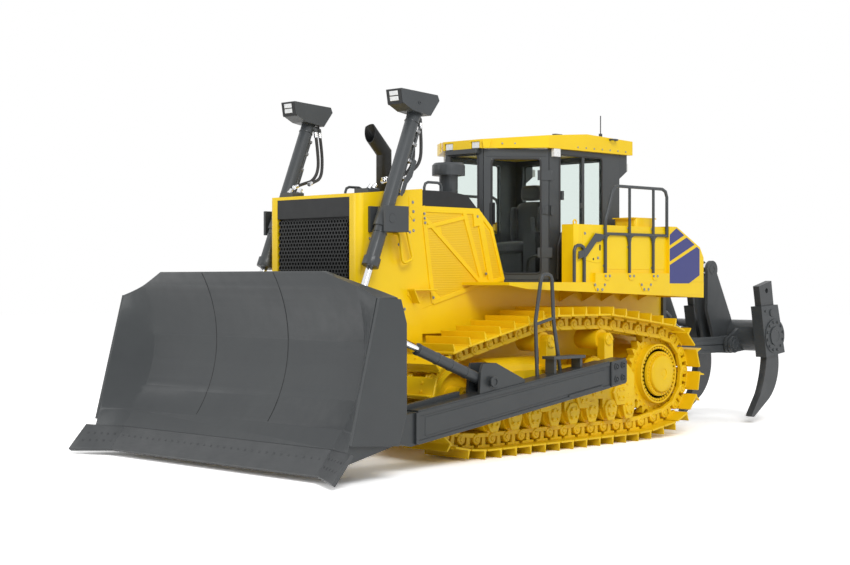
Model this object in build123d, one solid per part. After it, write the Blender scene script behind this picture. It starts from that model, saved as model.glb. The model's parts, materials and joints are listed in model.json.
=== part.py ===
# Crawler bulldozer with a full-width blade and a three-shank ripper.
# Millimetres. X points forward, Y to the machine's left, Z up. The origin is on the ground,
# under the middle of the machine's outline.
import os
from math import asin, atan2, cos, hypot, pi, sin, sqrt, tan

from build123d import *

# Fits and plate thicknesses
seat_gap = 0.3          # between pieces that seat on a round face
pin_play = 0.3          # radial play round a pin or a rod
swing_gap = 8           # beside a piece that swings
skin = 40               # hood, guard and panel walls
pane = 12               # window glass

# Tracks
track_y = 1070          # half of the track gauge
shoe_width = 610
shoe_count = 42
rail_depth = 62         # from the pin line in to the rail that the rollers run on
shoe_base = 86          # from the pin line out to the foot of the shoe
shoe_plate = 20
grouser = 80
rail_sink = 10          # how far the link rails enter the shoe plates
rail_inner = 95         # link rail, from the track's middle
rail_outer = 150

sprocket_at = (-1480, 720)
sprocket_pitch_radius = 460
sprocket_teeth = 25
tooth_height = 62
sprocket_width = 90
idler_at = (1920, 620)
idler_pitch_radius = 406
idler_half_width = 158
idler_boss = 115
yoke_half_width = 205   # half of the gap between the idler's yoke arms
yoke_plate = 45

roller_radius = 123
bogie_places = (1290, 660, 30, -620)
bogie_roller_offset = 160
roller_half_width = 161
front_bend_x = 1600     # where the lower run leaves the ground
rear_bend_x = -1000
carrier_places = (600, -380)
carrier_z = 1145
carrier_radius = 113
carrier_half_width = 152
carrier_post = 100

frame_rail_low = 500    # track frame, a box above the rollers
frame_rail_top = 860
frame_rail_front = 1500
frame_rail_rear = -900
recoil_radius = 190
final_drive_radius = 330
hub_radius = 300
hub_dome_radius = 210
hub_reach = 165         # from the track's middle to the hub's face

# Hull
deck_z = 1770
deck_plate_thickness = 30
hull_half_width = 560
hull_low = 690
hull_top = 1300
hull_front = 2700
hull_rear = -2250
platform_half_width = 660
platform_front = 593
pivot_at = (-700, 820)
pivot_radius = 120
equalizer_x = (840, 1000)
equalizer_height = 130
tow_plate_reach = 160
tow_plate_half = 40
tow_eye_radius = 35
tow_eye_z = 880

# Radiator guard and hood
guard_front = 2755
guard_rear = 1865
guard_half_width = 680
guard_low = 1150
guard_top_front = 2645
guard_top_rear = 2722
guard_corner = 70
grille_half_width = 550
grille_low = 1250
grille_top = 2613
grille_reveal = 4       # how far the grille sits back from the guard's front
grille_bar = 26
grille_columns = 8
grille_rows = 10
grille_band = 190       # plain band over the grille's mesh

hood_half_width = 660
hood_top_z = 2713
hood_band_low = 2550
hood_slope = ((1442, 2713), (1172, 2685))
hood_rear = ((1018, 2550), (792, 2352), (593, 1790))
hood_low = ((970, 1720), (1824, 1506))
exhaust_at = (1900, 150)
exhaust_radius = 80
exhaust_elbow_z = 3120
exhaust_tip_rise = 230
exhaust_tip_x = 2100    # the tip is cut off upright here
exhaust_wall = 6
cleaner_at = (1084, 300)
cleaner_stem_radius = 100
cleaner_bowl_radius = 177
cleaner_bowl_z = (2911, 3045)
cleaner_stem_low = 2470
cleaner_rim = 25
engine_x = (860, 1780)
engine_half_width = 380
engine_z = (hull_top, 2250)

# Cab, six-sided in plan
cab_front = 520
cab_half_width = 800
cab_corner_x = 5        # where the door's slanted wall meets the side wall
cab_front_half = cab_half_width - (cab_front - cab_corner_x)   # the doors stand at 45 degrees
cab_rear = -1250
cab_floor_plate = 20
cab_floor_z = deck_z + cab_floor_plate
cab_wall_top = 3240
cab_wall = 50
door_gap = 8
door_frame = 95
door_sill = 75          # from the floor up to the door's glass
door_window_top = 3125
door_cut = (143, 410)   # width and height cut off the lower front corner, to swing clear of the hood
door_hinge_radius = 14
hinge_height = 110
hinge_strap = 130
side_window_x = (-172, -928)
window_low = 2280
window_top = 3180
front_window_low = 1990
front_window_post = 75
rear_window_low = 2330
rear_window_post = 110
overhang_reach = 140    # housing behind the cab, under the roof
overhang_low = 2960
overhang_slope = 90
roof_top_front = 3340
roof_top_rear = 3432
roof_front = 560
roof_rear = -1435
roof_half_width = 850
roof_crest_x = -595
roof_fall = 30
roof_lamp = 130
seat_x = (-720, -170)
seat_half_width = 260
seat_rise = 450         # from the floor to the top of the cushion
seat_back = 660
seat_height = cab_floor_z + seat_rise
seat_back_top = seat_height + seat_back
console_y = (320, 500)
antenna_at = (-910, 790)
antenna_length = 245    # above the roof
antenna_foot = 20       # radius of its foot

# Deck, fenders and side boxes
cab_side_gap = 30
tank_inner = cab_half_width + cab_side_gap
rear_box_width = 490
deck_half_width = tank_inner + rear_box_width
deck_front = 1254
deck_rear = -2185
fender_lip = 30
fender_rear_low = 1588
gusset_places = (-350, -750, -1100, -1450, -1800)
gusset_thickness = 14
gusset_drop = 190
gusset_round = 300
box_setback = 40        # from the deck's edge in to the boxes' faces
box_half_width = deck_half_width - box_setback
box_depth = 200
box_inner = box_half_width - box_depth
box_front = 130
box_top = 2395
tank_front = -350
tank_rear = -1500
rear_box_top = 2407
rear_box_chamfer = ((-1650, 2407), (-2108, 2179))
rear_box_rear_top = 2060
grab_top = 2165
hood_handle_x = (1757, 1502)
hood_handle_y = 600
hood_handle_height = 88
ledge_top = 1870
cap_x = (-1370, -1010)
cap_inset = (380, 60)    # from the box's face to the cap's inner and outer sides
cap_rise = 95
rail_top = 2829
rail_mid = 2300
rail_knee = 2447
rail_posts = (-348, -782, -1223)
rail_rear = -1480
rail_lean = 150
rail_tube = 18
rail_bend = 90

# Blade and push arms
arm_pivot = (-130, 820)
arm_clearance = 65      # from the ends of the shoes out to the arm
arm_width = 200
arm_inner = track_y + shoe_width / 2 + arm_clearance
arm_outer = arm_inner + arm_width
arm_rear_x = -270
arm_front_x = 2985
arm_rear_z = (686, 958)
arm_front_z = (250, 556)
trunnion_radius = 85
arm_eye_radius = 105
arm_pin = (3236, 410)
arm_pin_radius = 50
clevis_plate = 40
brace_foot = (1870, 797)
brace_head = (3285, 1323)
brace_y = (arm_inner + arm_outer) / 2
brace_radius = 55
brace_rod_radius = 42
brace_eye_radius = 68
brace_eye_half = 39
brace_pin_radius = 32
ear_plate = 30
brace_shares = (0.66, 0.40)     # of the pin distance: the barrel's end and the rod's start
brace_stroke = 90               # bore behind the rod's inner end
bracket_outline = ((170, 640), (150, 900), (120, 981), (-70, 981), (-498, 800), (-498, 700))  # x from the brace's foot
ladder_inset = 60
ladder_feet = (1028, 662)
ladder_loop = ((1056, 1370), (960, 1850), (800, 1850), (769, 1360))
ladder_rung = ((1050, 1340), (775, 1400))
ladder_tube = 20
ladder_bend = 60
rung_tube = 16
step_x = (394, 904)
step_top = 1011
step_plate = 30
step_inset = 20
step_legs = (440, 860)
step_leg_half = 18

blade_top = (3734, 1875)
blade_hollow = (3542, 1153)
blade_knee = (3800, 459)
edge_top = (3919, 293)
edge_low = (4098, 75)
edge_thickness = 42
lip_length = 110
blade_back = 3380
blade_back_z = (605, 1405)
blade_back_low = (3480, 315)
blade_back_top = (3440, 1640)
blade_top_thickness = 70
blade_mid_half = arm_outer - 40          # half width of the straight middle
wing_width = 330
blade_half_width = blade_mid_half + wing_width
wing_front = ((3640, 1875), (3996, 459), (4046, 293))
blade_top_half = 1231
blade_shoulder_z = 1635
edge_half_width = blade_mid_half - 18
end_plate = 40
end_plate_front = ((3693, 1635), (4030, 353))
end_plate_rear = ((3431, 1621), (3360, 1405), (3360, 605), (3460, 315))
bit_tip = (4313, 57)
bit_reach = 100         # past the blade's end
bit_top_tip = (4095, 300)

# Lift cylinders
lift_y = 805
lift_trunnion = (2530, 2395)
lift_eye = (3142, 850)
lift_barrel_radius = 70
lift_collar_radius = 86
lift_collar = 90
lift_rod_radius = 38
lift_barrel_up = 1200
lift_barrel_down = 503
lift_rod_top = 50
lift_eye_radius = 75
lift_eye_half = 40
lift_pin_radius = 45
yoke_ear = 30
yoke_x = (2305, 2625)
yoke_z = (2265, 2520)
yoke_web = 25
hose_radius = 17
hose_port_radius = 22
hose_port_length = 40
hose_routes = (
    ((2068, 735, 3380), (2040, 730, 3180), (2035, 722, 2975), (2130, 705, 2850), (2280, 690, 2815), (2425, 671, 2768)),
    ((1985, 765, 3380), (1955, 757, 3180), (1962, 745, 2975), (2050, 685, 2875), (2190, 612, 2835), (2315, 556, 2800)),
)
lamp_half_width = 110
lamp_outline = ((2395, 3685), (2372, 3545), (2236, 3478), (1980, 3440), (1855, 3600), (1880, 3655))

# Ripper
ripper_foot = (-2540, 975)
ripper_hinge = (-3720, 975)
tower_pin = (-3540, 1930)
ripper_arm_y = (530, 630)
ripper_arm_half_height = 100
ripper_boss_radius = 112
ripper_pin_radius = 60
pin_head_radius = 105   # flanged head of each pin, outside the beam's outer lug
pin_head_thickness = 50
tower_y = 420
tower_gap_half = 50
tower_plate = 44
tower_boss_radius = 112
ripper_tube_at = (-4068, 1085)
ripper_tube_radius = 198
tilt_barrel_radius = 80
tilt_rod_radius = 42
tilt_eye_half = 42
tilt_eye_radius = 80
tilt_foot_radius = 88
tilt_pin_radius = 45
tilt_shares = (0.62, 0.32)
tilt_stroke = 210
ripper_lift_y = 200
ripper_lift_head = (-2470, 1620)
ripper_lift_eye = (-3300, 1135)
ripper_lift_radius = 72
ripper_lift_rod_radius = 40
ripper_lift_eye_half = 40
ripper_lift_eye_radius = 72
ripper_lift_foot_radius = 78
ripper_lift_pin_radius = 40
ripper_lift_shares = (0.65, 0.33)
ripper_lift_stroke = 200
ripper_cross_radius = 60
tower_knee_z = 1420     # the tower's front leans back from here down, clear of the arm's cross tube
support_plate = 44
shank_half = 45
shank_places = (-1023, 0, 1023)
holder_half = 77
holder_outline = ((-3760, 1460), (-4145, 1483), (-4313, 870), (-3880, 820))
shank_front = ((-3760, 1716), (-3935, 808))
shank_rear = ((-4045, 1785), (-4210, 820))
shank_curve = (-4150, 470)
shank_heel = (-3985, 285)
shank_tip = ((-3650, 78), (-3590, 92))
shank_throat = ((-3794, 358), (-3905, 640))
shank_hole_at = (-3935, 1660)
shank_hole_radius = 32
shank_pin_at = (-4000, 1380)
shank_pin_radius = 30
hub_disc_radius = 215
hub_disc = 12


def block(x, y, z):
    """A box between two limits on each axis."""
    low = (min(x), min(y), min(z))
    size = (abs(x[1] - x[0]), abs(y[1] - y[0]), abs(z[1] - z[0]))
    return Pos(*low) * Box(*size, align=(Align.MIN, Align.MIN, Align.MIN))


def side_plate(outline, y):
    """A flat outline in X and Z carried across Y."""
    face = make_face(Polyline(*[(x, min(y), z) for x, z in outline], close=True))
    return extrude(face, amount=abs(y[1] - y[0]), dir=(0, 1, 0))


def deck_plate(outline, z):
    """A flat outline in X and Y carried up Z."""
    face = make_face(Polyline(*[(x, y, min(z)) for x, y in outline], close=True))
    return extrude(face, amount=abs(z[1] - z[0]), dir=(0, 0, 1))


def cross_plate(outline, x):
    """A flat outline in Y and Z carried along X."""
    face = make_face(Polyline(*[(min(x), y, z) for y, z in outline], close=True))
    return extrude(face, amount=abs(x[1] - x[0]), dir=(1, 0, 0))


def rod(start, end, radius):
    """A round bar between two points."""
    along = Vector(*end) - Vector(*start)
    upright = (Align.CENTER, Align.CENTER, Align.MIN)
    return Plane(start, z_dir=along) * Cylinder(radius, along.length, align=upright)


def drum(at, y, radius):
    """A round bar across the machine, at a point of X and Z."""
    return rod((at[0], min(y), at[1]), (at[0], max(y), at[1]), radius)


def tube_run(points, radius, bend):
    """A bent tube: straight runs with mitred corners, two short runs round each bend."""
    path = bend_points([Vector(*point) for point in points], bend)
    section = Plane(path[0], z_dir=path[1] - path[0]) * Circle(radius)
    return sweep(section, path=Polyline(*path), transition=Transition.RIGHT)


def bend_points(corners, bend):
    """Corners replaced by the start, middle and end of an arc."""
    path = [corners[0]]
    for before, corner, after in zip(corners, corners[1:], corners[2:]):
        start, middle, end = arc_at(before, corner, after, bend)
        path += [start, middle, end]
    return path + [corners[-1]]


def arc_at(before, corner, after, radius):
    """Start, middle and end of the arc that rounds a corner of a path."""
    back, ahead = (before - corner).normalized(), (after - corner).normalized()
    half_turn = (pi - back.get_angle(ahead) * pi / 180) / 2
    trim = radius * tan(half_turn)
    inward = (back + ahead).normalized()
    middle = corner + inward * (radius / cos(half_turn) - radius)
    return corner + back * trim, middle, corner + ahead * trim


def across(shape):
    """A shape and its mirror image on the other side of the machine."""
    return [shape, mirror(shape, about=Plane.XZ)]


def along_line(start, end, distance):
    """The point at a distance from start towards end, in X and Z."""
    length = hypot(end[0] - start[0], end[1] - start[1])
    return tuple(a + (b - a) * distance / length for a, b in zip(start, end))


def span(start, end):
    return hypot(end[0] - start[0], end[1] - start[1])


def at_y(point, y):
    return (point[0], y, point[1])


# Tracks: the pin line is pulled tight round the sprocket, carriers, idler and rollers
def pin_line_circles():
    carrier_pitch = carrier_radius + rail_depth
    roller_pitch = roller_radius + rail_depth
    roller_z = roller_axis_z()
    return [
        (sprocket_at, sprocket_pitch_radius),
        ((carrier_places[1], carrier_z), carrier_pitch),
        ((carrier_places[0], carrier_z), carrier_pitch),
        (idler_at, idler_pitch_radius),
        ((front_bend_x, roller_z), roller_pitch),
        ((rear_bend_x, roller_z), roller_pitch),
    ]


def roller_axis_z():
    return grouser + shoe_plate + shoe_base + rail_depth + roller_radius


def outer_normal(first, second):
    """The angle of the normal of the outer tangent between two circles, walked clockwise."""
    (a, ra), (b, rb) = first, second
    heading = atan2(b[1] - a[1], b[0] - a[0])
    return heading + pi / 2 - asin((ra - rb) / span(a, b))


def pin_line_pieces():
    """Straight runs and arcs of the pin line, each with its length and a way to find a point on it."""
    circles = pin_line_circles()
    count = len(circles)
    normals = [outer_normal(circles[i], circles[(i + 1) % count]) for i in range(count)]
    pieces = []
    for i, (centre, radius) in enumerate(circles):
        turn = (normals[i - 1] - normals[i]) % (2 * pi)
        pieces.append(("arc", centre, radius, normals[i - 1], turn * radius))
        following, following_radius = circles[(i + 1) % count]
        start = on_circle(centre, radius, normals[i])
        end = on_circle(following, following_radius, normals[i])
        pieces.append(("run", start, end, None, span(start, end)))
    return pieces


def on_circle(centre, radius, angle):
    return (centre[0] + radius * cos(angle), centre[1] + radius * sin(angle))


def track_pitch():
    return sum(piece[-1] for piece in pin_line_pieces()) / shoe_count


def pin_points():
    """The centres of the track pins, evenly spaced along the pin line."""
    pieces = pin_line_pieces()
    pitch = track_pitch()
    points = []
    for number in range(shoe_count):
        distance = number * pitch
        for kind, first, second, angle, length in pieces:
            if distance <= length:
                break
            distance -= length
        if kind == "arc":
            points.append(on_circle(first, second, angle - distance / second))
        else:
            points.append(along_line(first, second, distance))
    return points


def link_frames():
    """For each link: its first pin, the direction along it, the direction out of the loop and its length."""
    points = pin_points()
    frames = []
    for here, there in zip(points, points[1:] + points[:1]):
        length = span(here, there)
        ahead = ((there[0] - here[0]) / length, (there[1] - here[1]) / length)
        frames.append((here, ahead, (-ahead[1], ahead[0]), length))
    return frames


def link_outline(offset):
    """The loop through the links at one distance from the pin line, with mitred corners."""
    frames = link_frames()
    corners = []
    for before, after in zip(frames[-1:] + frames[:-1], frames):
        middle = (before[2][0] + after[2][0], before[2][1] + after[2][1])
        scale = 2 * offset / (middle[0] ** 2 + middle[1] ** 2)
        corners.append((after[0][0] + middle[0] * scale, after[0][1] + middle[1] * scale))
    return corners


def shoe_outline():
    """The outside of the shoes: a flat plate with a tapered grouser near one edge of each."""
    plate = shoe_base + shoe_plate
    profile = ((0.03, plate), (0.80, plate), (0.86, plate + grouser), (0.92, plate + grouser), (0.97, plate))
    outline = []
    for here, ahead, out, length in link_frames():
        for share, height in profile:
            outline.append((here[0] + ahead[0] * share * length + out[0] * height,
                            here[1] + ahead[1] * share * length + out[1] * height))
    return outline


def track_loop(side):
    middle = side * track_y
    shoes_y = (middle - shoe_width / 2, middle + shoe_width / 2)
    loop = side_plate(shoe_outline(), shoes_y) - side_plate(link_outline(shoe_base), shoes_y)
    for hand in (-1, 1):
        rail_y = (middle + hand * rail_inner, middle + hand * rail_outer)
        rail = side_plate(link_outline(shoe_base + rail_sink), rail_y)
        loop += rail - side_plate(link_outline(-rail_depth), rail_y)
    return loop


def rail_radius(at):
    """The largest radius round a point that just clears the flat rails of the links."""
    corners = link_outline(-rail_depth)
    nearest = []
    for start, end in zip(corners, corners[1:] + corners[:1]):
        along = Vector(end[0] - start[0], end[1] - start[1])
        to_point = Vector(at[0] - start[0], at[1] - start[1])
        share = min(1, max(0, along.dot(to_point) / along.dot(along)))
        nearest.append((to_point - along * share).length)
    return min(nearest) - seat_gap


def idlers():
    tread = rail_radius(idler_at)
    rim = tread - 60
    flange = tread + 18
    boss_face = yoke_half_width - seat_gap
    half = [(0, boss_face), (idler_boss, boss_face), (idler_boss, 70), (rim, 70), (rim, idler_half_width),
            (tread, idler_half_width), (tread, rail_inner - 5), (flange, rail_inner - 15)]
    profile = half + [(r, -y) for r, y in reversed(half)]
    wheel = revolve(make_face(Polyline(*profile, close=True)), axis=Axis.Y)
    return across(Pos(idler_at[0], track_y, idler_at[1]) * wheel)


def sprockets():
    """Toothed ring with rounded roots, on a hub with a domed cover."""
    tip = sprocket_pitch_radius + tooth_height / 2
    root = tip - tooth_height
    outline = []
    for number in range(sprocket_teeth):
        for share, radius in ((0.0, root), (0.2, root), (0.42, tip), (0.58, tip), (0.8, root)):
            outline.append(on_circle(sprocket_at, radius, 2 * pi * (number + share) / sprocket_teeth))
    ring_y = (track_y - sprocket_width / 2, track_y + sprocket_width / 2)
    wheel = side_plate(outline, ring_y)
    hub_face = track_y + hub_reach
    wheel += drum(sprocket_at, (track_y, hub_face - 60), hub_radius + 40)
    wheel += drum(sprocket_at, (track_y, hub_face - 25), hub_radius - 45)
    wheel += drum(sprocket_at, (track_y, hub_face), hub_dome_radius)
    return across(wheel)


def final_drives():
    inner_face = track_y - sprocket_width / 2 - seat_gap
    case = drum(sprocket_at, (hull_half_width, inner_face), final_drive_radius)
    case += drum(sprocket_at, (hull_half_width, hull_half_width + 60), final_drive_radius + 60)
    return across(case)


def track_frames():
    half = yoke_half_width
    rail_y = (track_y - half, track_y + half)
    body = side_plate([(frame_rail_rear, frame_rail_low), (frame_rail_front, frame_rail_low),
                       (frame_rail_front, frame_rail_top - 60), (frame_rail_front - 420, frame_rail_top),
                       (frame_rail_rear + 120, frame_rail_top), (frame_rail_rear, frame_rail_top - 120)], rail_y)
    recoil_z = frame_rail_top - 60
    body += rod((frame_rail_front - 900, track_y, recoil_z), (frame_rail_front - 60, track_y, recoil_z),
                recoil_radius)
    yoke_end = idler_at[0] + idler_boss
    for hand in (-1, 1):
        plate_y = (track_y + hand * half, track_y + hand * (half + yoke_plate))
        arm = side_plate([(frame_rail_front - 250, idler_at[1] - 90), (yoke_end - 60, idler_at[1] - 90),
                          (yoke_end, idler_at[1] - 30), (yoke_end, idler_at[1] + 60),
                          (yoke_end - 60, idler_at[1] + 110), (frame_rail_front - 250, idler_at[1] + 110)],
                         plate_y)
        body += arm
    for place in carrier_places:
        post_y = (track_y + carrier_half_width + seat_gap, track_y + carrier_half_width + carrier_post)
        post = block((place - 75, place + 75), post_y, (frame_rail_top - 30, carrier_z))
        post += drum((place, carrier_z), post_y, 75)
        body += post
    stub = drum(arm_pivot, (track_y + half - 10, arm_outer - 70), trunnion_radius)
    collar = drum(arm_pivot, (track_y + half - 10, track_y + half + 70), trunnion_radius + 50)
    return across(body + stub + collar)


def bogies():
    """Hanger plates that carry two rollers each, pointed below like shields."""
    axis_z = roller_axis_z()
    half = bogie_roller_offset
    plates = []
    for place in bogie_places:
        right = [(40, axis_z + 40), (half - 60, axis_z - 90), (half + 60, axis_z - 90),
                 (half + 130, axis_z + 40), (half + 130, frame_rail_low)]
        outline = [(place - x, z) for x, z in reversed(right)] + [(place + x, z) for x, z in right]
        for hand in (-1, 1):
            inner = roller_half_width + seat_gap
            plate_y = (track_y + hand * inner, track_y + hand * (inner + yoke_plate))
            plates += across(side_plate(outline, plate_y))
    return plates


def track_rollers():
    """The rollers in the bogies and the two carriers under the upper run."""
    lower = [(place + hand * bogie_roller_offset, roller_axis_z()) for place in bogie_places for hand in (-1, 1)]
    upper = [(place, carrier_z) for place in carrier_places]
    rollers = []
    for places, half in ((lower, roller_half_width), (upper, carrier_half_width)):
        for at in places:
            rollers += across(drum(at, (track_y - half, track_y + half), rail_radius(at)))
    return rollers


def cross_shafts():
    """Stub shafts that carry the track frames, and the bar that balances them in front."""
    inner = track_y - yoke_half_width
    shafts = across(drum(pivot_at, (hull_half_width, inner), pivot_radius))
    bar = block(equalizer_x, (-inner, inner), (hull_low - equalizer_height, hull_low))
    return shafts + [bar]


# Hull, engine, radiator guard and hood
def main_frame():
    hull = side_plate([(hull_rear, hull_low + 180), (hull_rear + 300, hull_low), (hull_front - 500, hull_low),
                       (hull_front, hull_low + 120), (hull_front, guard_low), (guard_rear, guard_low),
                       (guard_rear, hull_top), (hull_rear, hull_top)], (-hull_half_width, hull_half_width))
    platform_top = deck_z
    platform = side_plate([(hull_rear, hull_top), (platform_front, hull_top), (platform_front, platform_top),
                           (hull_rear, platform_top)], (-platform_half_width, platform_half_width))
    low_front, low_rear = hood_low[1], hood_low[0]
    side_outline = [(platform_front, hull_top - 60), (guard_rear, hull_top - 60), (guard_rear, low_front[1]),
                    low_front, low_rear, hood_rear[-1]]
    frame = hull + platform
    for side in across(side_plate(side_outline, (hull_half_width - skin, hood_half_width))):
        frame += side
    tow_x = (hull_front, hull_front + tow_plate_reach)
    tow = block(tow_x, (-tow_plate_half, tow_plate_half), (tow_eye_z - 90, tow_eye_z + 90))
    tow -= drum((hull_front + tow_plate_reach - 70, tow_eye_z), (-tow_plate_half, tow_plate_half), tow_eye_radius)
    return [frame + tow]


def guard_shell():
    outline = [(guard_rear, guard_low), (guard_front, guard_low), (guard_front, guard_top_front),
               (guard_rear, guard_top_rear)]
    shell = side_plate(outline, (-guard_half_width, guard_half_width))
    front_edges = shell.edges().filter_by(Axis.Z).group_by(Axis.X)[-1]
    shell = fillet(front_edges, guard_corner)
    inner_front = guard_front - skin
    inside = [(guard_rear, guard_low), (inner_front, guard_low), (inner_front, guard_top_front - skin),
              (guard_rear, guard_top_rear - skin)]
    shell -= side_plate(inside, (-guard_half_width + skin, guard_half_width - skin))
    shell -= block((inner_front, guard_front), (-grille_half_width, grille_half_width), (grille_low, grille_top))
    return shell


def radiator_guard():
    return [guard_shell()]


def radiator_grille():
    """A frame with a plain band over a field of rectangular openings."""
    panel_x = (guard_front - skin, guard_front - grille_reveal)
    half = grille_half_width - seat_gap
    panel = block(panel_x, (-half, half), (grille_low + seat_gap, grille_top - seat_gap))
    field_top = grille_top - grille_band
    cell_y = (2 * half - grille_bar) / grille_columns
    cell_z = (field_top - grille_low - grille_bar) / grille_rows
    for column in range(grille_columns):
        for row in range(grille_rows):
            low_y = -half + grille_bar + column * cell_y
            low_z = grille_low + grille_bar + row * cell_z
            panel -= block(panel_x, (low_y, low_y + cell_y - grille_bar), (low_z, low_z + cell_z - grille_bar))
    return [panel]


def engine_block():
    return [block(engine_x, (-engine_half_width, engine_half_width), engine_z)]


def hood_top():
    """The black upper cover: a top plate, two side bands and the slanted wall in front of the cab."""
    crown = [(guard_rear, hood_top_z), hood_slope[0], hood_slope[1], hood_rear[0]]
    band = side_plate(crown + [(guard_rear, hood_band_low)], (-hood_half_width, hood_half_width))
    hollow = [(guard_rear, hood_top_z - skin), (hood_slope[0][0], hood_slope[0][1] - skin),
              (hood_slope[1][0] + skin, hood_slope[1][1] - skin), (hood_rear[0][0] + skin, hood_band_low),
              (guard_rear, hood_band_low)]
    band -= side_plate(hollow, (-hood_half_width + skin, hood_half_width - skin))
    wall_outer = list(hood_rear)
    wall_inner = [(x + skin, z) for x, z in reversed(hood_rear)]
    wall = side_plate(wall_outer + wall_inner, (-hood_half_width + skin, hood_half_width - skin))
    stem_hole = rod((*cleaner_at, cleaner_stem_low), (*cleaner_at, cleaner_bowl_z[0]), cleaner_stem_radius + seat_gap)
    return [band + wall - stem_hole]


def hood_sides():
    outline = [(guard_rear, hood_band_low), *hood_rear, *hood_low, (guard_rear, hood_low[1][1])]
    return across(side_plate(outline, (hood_half_width - skin, hood_half_width)))


def exhaust_pipe():
    x, y = exhaust_at
    elbow = (x, y, exhaust_elbow_z)
    tip = (x + exhaust_tip_rise, y, exhaust_elbow_z + exhaust_tip_rise)
    path = Polyline((x, y, hood_top_z + 1), elbow, tip)
    pipe = sweep(Plane((x, y, hood_top_z + 1)) * Circle(exhaust_radius), path=path, transition=Transition.RIGHT)
    pipe -= rod(elbow, tip, exhaust_radius - exhaust_wall)
    beyond = 2 * exhaust_radius
    pipe -= block((exhaust_tip_x, tip[0] + beyond), (y - beyond, y + beyond), (exhaust_elbow_z, tip[2] + beyond))
    return [pipe - guard_shell()]


def air_precleaner():
    x, y = cleaner_at
    stem = rod((x, y, cleaner_stem_low), (x, y, cleaner_bowl_z[0] + 10), cleaner_stem_radius)
    bowl = rod((x, y, cleaner_bowl_z[0]), (x, y, cleaner_bowl_z[1]), cleaner_bowl_radius)
    bowl = chamfer(bowl.edges().group_by(Axis.Z)[-1], cleaner_rim)
    return [stem + bowl]


# Deck and side boxes
def fender():
    deck_low = deck_z - deck_plate_thickness
    inner = platform_half_width
    deck = block((deck_rear, deck_front), (inner, deck_half_width), (deck_low, deck_z))
    lip = side_plate([(deck_front, deck_low), (deck_front - 280, deck_low - 40), (deck_rear, fender_rear_low),
                      (deck_rear, deck_low)], (deck_half_width - fender_lip, deck_half_width))
    tail = block((deck_rear, deck_rear + fender_lip), (inner, deck_half_width), (fender_rear_low, deck_low))
    return deck + lip + tail


def fenders():
    """Deck, lip and tail of each fender, with quarter-round webs from the hull's side out to the lip."""
    plate = fender()
    deck_low = deck_z - deck_plate_thickness
    for place in gusset_places:
        start = (place, platform_half_width, deck_low - gusset_drop)
        end = (place, deck_half_width - fender_lip, deck_low)
        middle = (place, platform_half_width + gusset_round, deck_low - gusset_drop / 3)
        edges = ThreePointArc(start, middle, end) + Polyline(end, (place, platform_half_width, deck_low), start)
        plate += extrude(make_face(edges), amount=gusset_thickness, dir=(1, 0, 0))
    return across(plate)


def side_boxes():
    """The tall boxes beside the cab, deeper behind it, with the ledge that carries the handrail."""
    outer = box_half_width
    plan = [(box_front, box_inner), (box_front, outer - 40), (box_front - 40, outer), (tank_rear, outer),
            (tank_rear, tank_inner), (tank_front, tank_inner), (tank_front, box_inner)]
    front = deck_plate(plan, (deck_z, box_top))
    ledge = block((tank_rear, tank_front + 200), (outer - 20, outer + box_setback), (deck_z, ledge_top))
    cap = block(cap_x, [outer - inset for inset in cap_inset], (box_top - 10, box_top + cap_rise))
    cap = fillet(cap.edges().filter_by(Axis.Z), 40)
    return across(front + ledge + cap)


def rear_boxes():
    """The sloped box at the rear corner of each fender."""
    outline = [(tank_rear, deck_z), (tank_rear, rear_box_top), rear_box_chamfer[0], rear_box_chamfer[1],
               (deck_rear, rear_box_rear_top), (deck_rear, deck_z)]
    return across(side_plate(outline, (tank_inner, deck_half_width)))


def handrails():
    """The rail along the side box, the grab frame in front of it and the handles on the hood."""
    rail_y = box_half_width + box_setback / 2
    front_post = rail_posts[0]
    rail = tube_run([(front_post, rail_y, ledge_top), (front_post, rail_y, rail_knee),
                     (front_post - rail_lean, rail_y, rail_top), (rail_rear, rail_y, rail_top),
                     (rail_rear, rail_y, rail_mid - rail_tube)], rail_tube, rail_bend)
    for post in rail_posts[1:]:
        rail += rod((post, rail_y, ledge_top), (post, rail_y, rail_top), rail_tube - 2)
    rail += rod((front_post, rail_y, rail_mid), (rail_rear, rail_y, rail_mid), rail_tube - 2)
    frame_y = box_half_width + rail_tube + 4
    front, rear = box_front + 60, box_front - 110
    grab = tube_run([(front, frame_y, deck_z), (front, frame_y, grab_top), (rear, frame_y, grab_top),
                     (rear, frame_y, deck_z)], rail_tube, 60)
    front, rear = hood_handle_x
    handle_top = hood_top_z + hood_handle_height
    handle = tube_run([(front, hood_handle_y, hood_top_z), (front, hood_handle_y, handle_top),
                       (rear, hood_handle_y, handle_top), (rear, hood_handle_y, hood_top_z)], 14, 55)
    return across(rail) + across(grab) + across(handle)


# Cab
def cab_corners(inset):
    """The corners of the six-sided plan, with every wall moved in by an inset, from the front left."""
    slant = inset * (sqrt(2) - 1)
    left = [(cab_front - inset, cab_front_half - slant), (cab_corner_x - slant, cab_half_width - inset),
            (cab_rear + inset, cab_half_width - inset)]
    return left + [(x, -y) for x, y in reversed(left)]


def cab_wall_plan(first, second, gap):
    """The plan of the wall between two corners, mitred at both, with a gap at each end."""
    outer, inner = cab_corners(0), cab_corners(cab_wall)
    ends = [(outer[first], outer[second]), (outer[second], outer[first]), (inner[second], inner[first]),
            (inner[first], inner[second])]
    return [along_line(start, end, gap) for start, end in ends]


def cab_floor():
    return [deck_plate(cab_corners(0), (deck_z, cab_floor_z))]


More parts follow.
